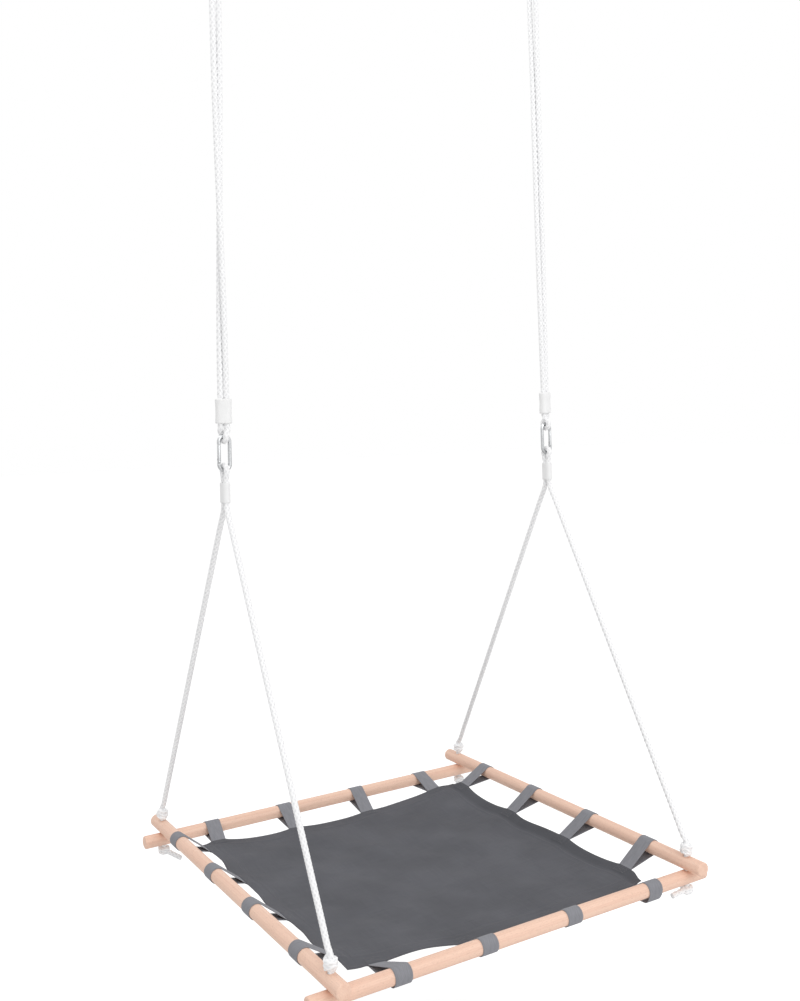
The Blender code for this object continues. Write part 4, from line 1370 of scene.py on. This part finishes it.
class SWING_OT_ropes(bpy.types.Operator):
    """Bridle and hanger ropes, and the stopper knots in the bridles"""

    bl_idname = "swing.ropes"
    bl_label = "Rig Ropes"

    def execute(self, context):
        settings = context.scene.swing_rope
        braid = braided_rope(settings)
        for side in SIDES:
            knots = self.tie_knots(side, settings, braid)
            self.rig_bridle(side, settings, braid, knots)
            self.rig_hanger(side, settings, braid)
        return {"FINISHED"}

    def tie_knots(self, side, settings, braid):
        knots = []
        for number, end in enumerate(ENDS):
            for layer, way in (("upper", 1), ("lower", -1)):
                node = f"{side}_{end}_{layer}_knot"
                height = KNOTS[layer][0]
                by_side, by_end, by_layer = KNOT_TURNS
                turn = by_side * SIDES[side] + by_end * number + by_layer * way
                path = knot_path(*KNOTS[layer], settings.step * KNOT_STEP)
                mesh = rope_mesh(path, settings, KNOT_STRAND, KNOT_END)
                place = node_middle(node)
                place.z = level(way * (KNOT_FOOT + height / 2))
                mesh.transform(Matrix.Translation(place) @ Matrix.Rotation(turn, 4, "Z"))
                knots.append(add_piece(f"{node}_tied", mesh, braid, "platform", "white_rope", node))
        return knots

    def lay(self, path, name, body, settings, braid):
        mesh = rope_mesh(path, settings)
        return add_piece(f"{name}_braid", mesh, braid, body, "white_rope", f"{name}_rope")

    def rig_bridle(self, side, settings, braid, knots):
        path = smooth_route(bridle_route(side), settings.step)
        piece = self.lay(path, f"{side}_bridle", "platform", settings, braid)

    def rig_hanger(self, side, settings, braid):
        path = smooth_route(hanger_route(side), settings.step)
        piece = self.lay(path, f"{side}_hanger", "hangers", settings, braid)


class SWING_OT_poles(bpy.types.Operator):
    """Turned wooden poles with drilled ends"""

    bl_idname = "swing.poles"
    bl_label = "Turn Poles"

    def execute(self, context):
        settings = context.scene.swing_pole
        wood = beech_wood(settings)
        for number, side in enumerate(FRAME_TURN):
            mesh = pole_mesh(settings, number)
            mesh.transform(frame_matrix(side))
            add_piece(f"{side}_pole_turned", mesh, wood, "platform", "pale_beech", f"{side}_pole")
        return {"FINISHED"}


class SWING_OT_cloth(bpy.types.Operator):
    """Mat, webbing loops and their stitching"""

    bl_idname = "swing.cloth"
    bl_label = "Sew Cloth"

    def execute(self, context):
        settings = context.scene.swing_cloth
        tape, thread = webbing_tape(settings), sewing_thread(settings)
        for side in FRAME_TURN:
            layout = zip(loop_places(side), LOOP_SLIDES[side])
            for number, (place, slide) in enumerate(layout, start=1):
                node = f"{side}_loop_{number}"
                mesh = loop_mesh(side, place, place + slide, SLACK_LOOPS.get(node, LOOP_SLACK), settings)
                add_piece(f"{node}_webbing", mesh, tape, "platform", "grey_webbing", node)
        canvas = canvas_cloth(settings)
        mat = add_piece("mat_cloth", cloth_mesh(settings), canvas, "platform", "grey_canvas", "mat")
        sewing = [
            self.sew("hem_stitching", hem_rows(settings), settings, thread),
            self.sew("loop_stitching", loop_rows(settings), settings, thread),
        ]
        return {"FINISHED"}

    def sew(self, name, rows, settings, thread):
        return add_piece(name, stitched_mesh(rows, settings, thread), thread, "platform", "grey_canvas")


class SWING_OT_fittings(bpy.types.Operator):
    """Moulded sleeves on the bridles and clamps on the hangers"""

    bl_idname = "swing.fittings"
    bl_label = "Fit Sleeves and Clamps"

    def execute(self, context):
        plastic = moulded_plastic(context.scene.swing_fitting)
        for side in SIDES:
            held = hanger_angle(side, CLAMP_TOP)
            fittings = (
                ("bridle_sleeve", "platform", QUARTER_TURN, SLEEVE_FOOT, SLEEVE_HEIGHT, SLEEVE_SHAPE),
                ("hanger_clamp", "hangers", held, CLAMP_FOOT, CLAMP_HEIGHT, CLAMP_SHAPE),
            )
            for kind, body, turn, foot, height, shape in fittings:
                mesh = strand_block_mesh(height, *shape)
                mesh.transform(gear_matrix(side, foot + height / 2, turn))
                node = f"{side}_{kind}"
                add_piece(f"{node}_moulded", mesh, plastic, body, "white_plastic", node)
        return {"FINISHED"}


class SWING_OT_hooks(bpy.types.Operator):
    """Snap hooks with their gates, rivets and springs"""

    bl_idname = "swing.hooks"
    bl_label = "Fit Snap Hooks"

    def execute(self, context):
        steel = zinc_steel(context.scene.swing_fitting)
        hook, gate, rivet = hook_mesh(), gate_mesh(), rivet_mesh()
        layers = {"lower": (TILT_HEIGHT + LINK_HEIGHT) / 2, "upper": SWING_HEIGHT + HOOK_CENTRES / 2}
        for layer, middle in layers.items():
            for side in SIDES:
                name = f"{side}_{layer}"
                body = f"{side}_link" if layer == "lower" else "hang_hooks"
                matrix = gear_matrix(side, middle, 0.0 if SIDES[side] > 0 else math.pi)
                hinge = matrix @ Matrix.Translation((HOOK_ARC, 0, -GATE_HALF))
                parts = (
                    ("hook", hook, matrix, body),
                    ("gate_rivet", rivet, hinge, body),
                    ("gate", gate, hinge, f"{name}_gate"),
                )
                for part, mesh, place, rides in parts:
                    node = f"{name}_{part}"
                    add_piece(f"{node}_steel", copied(mesh, place), steel, rides, "zinc_steel", node)
                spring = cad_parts[f"{name}_gate_spring"]
                spring.data.materials.clear()
                spring.data.materials.append(steel)
        return {"FINISHED"}


OPERATORS = (
    SWING_OT_stage, SWING_OT_ropes, SWING_OT_poles, SWING_OT_cloth, SWING_OT_fittings, SWING_OT_hooks,
)
SETTINGS = {
    "swing_stage": StageSettings,
    "swing_rope": RopeSettings,
    "swing_pole": PoleSettings,
    "swing_cloth": ClothSettings,
    "swing_fitting": FittingSettings,
}


class SWING_PT_sidebar(bpy.types.Panel):
    """The swing's operators and settings"""

    bl_idname = "SWING_PT_sidebar"
    bl_label = "Platform Swing"
    bl_space_type = "VIEW_3D"
    bl_region_type = "UI"
    bl_category = "Swing"

    def draw(self, context):
        for operator in OPERATORS:
            self.layout.operator(operator.bl_idname)
        for name, group in SETTINGS.items():
            box = self.layout.box()
            for setting in group.__annotations__:
                box.prop(getattr(context.scene, name), setting)


def register():
    for name, group in SETTINGS.items():
        bpy.utils.register_class(group)
        setattr(bpy.types.Scene, name, PointerProperty(type=group))
    for made in (*OPERATORS, SWING_PT_sidebar):
        bpy.utils.register_class(made)


def unregister():
    for made in (SWING_PT_sidebar, *OPERATORS[::-1]):
        bpy.utils.unregister_class(made)
    for name, group in SETTINGS.items():
        delattr(bpy.types.Scene, name)
        bpy.utils.unregister_class(group)


def main():
    register()
    bpy.ops.swing.stage()
    bpy.ops.swing.ropes()
    bpy.ops.swing.poles()
    bpy.ops.swing.cloth()
    bpy.ops.swing.fittings()
    bpy.ops.swing.hooks()


if __name__ == "__main__":
    main()
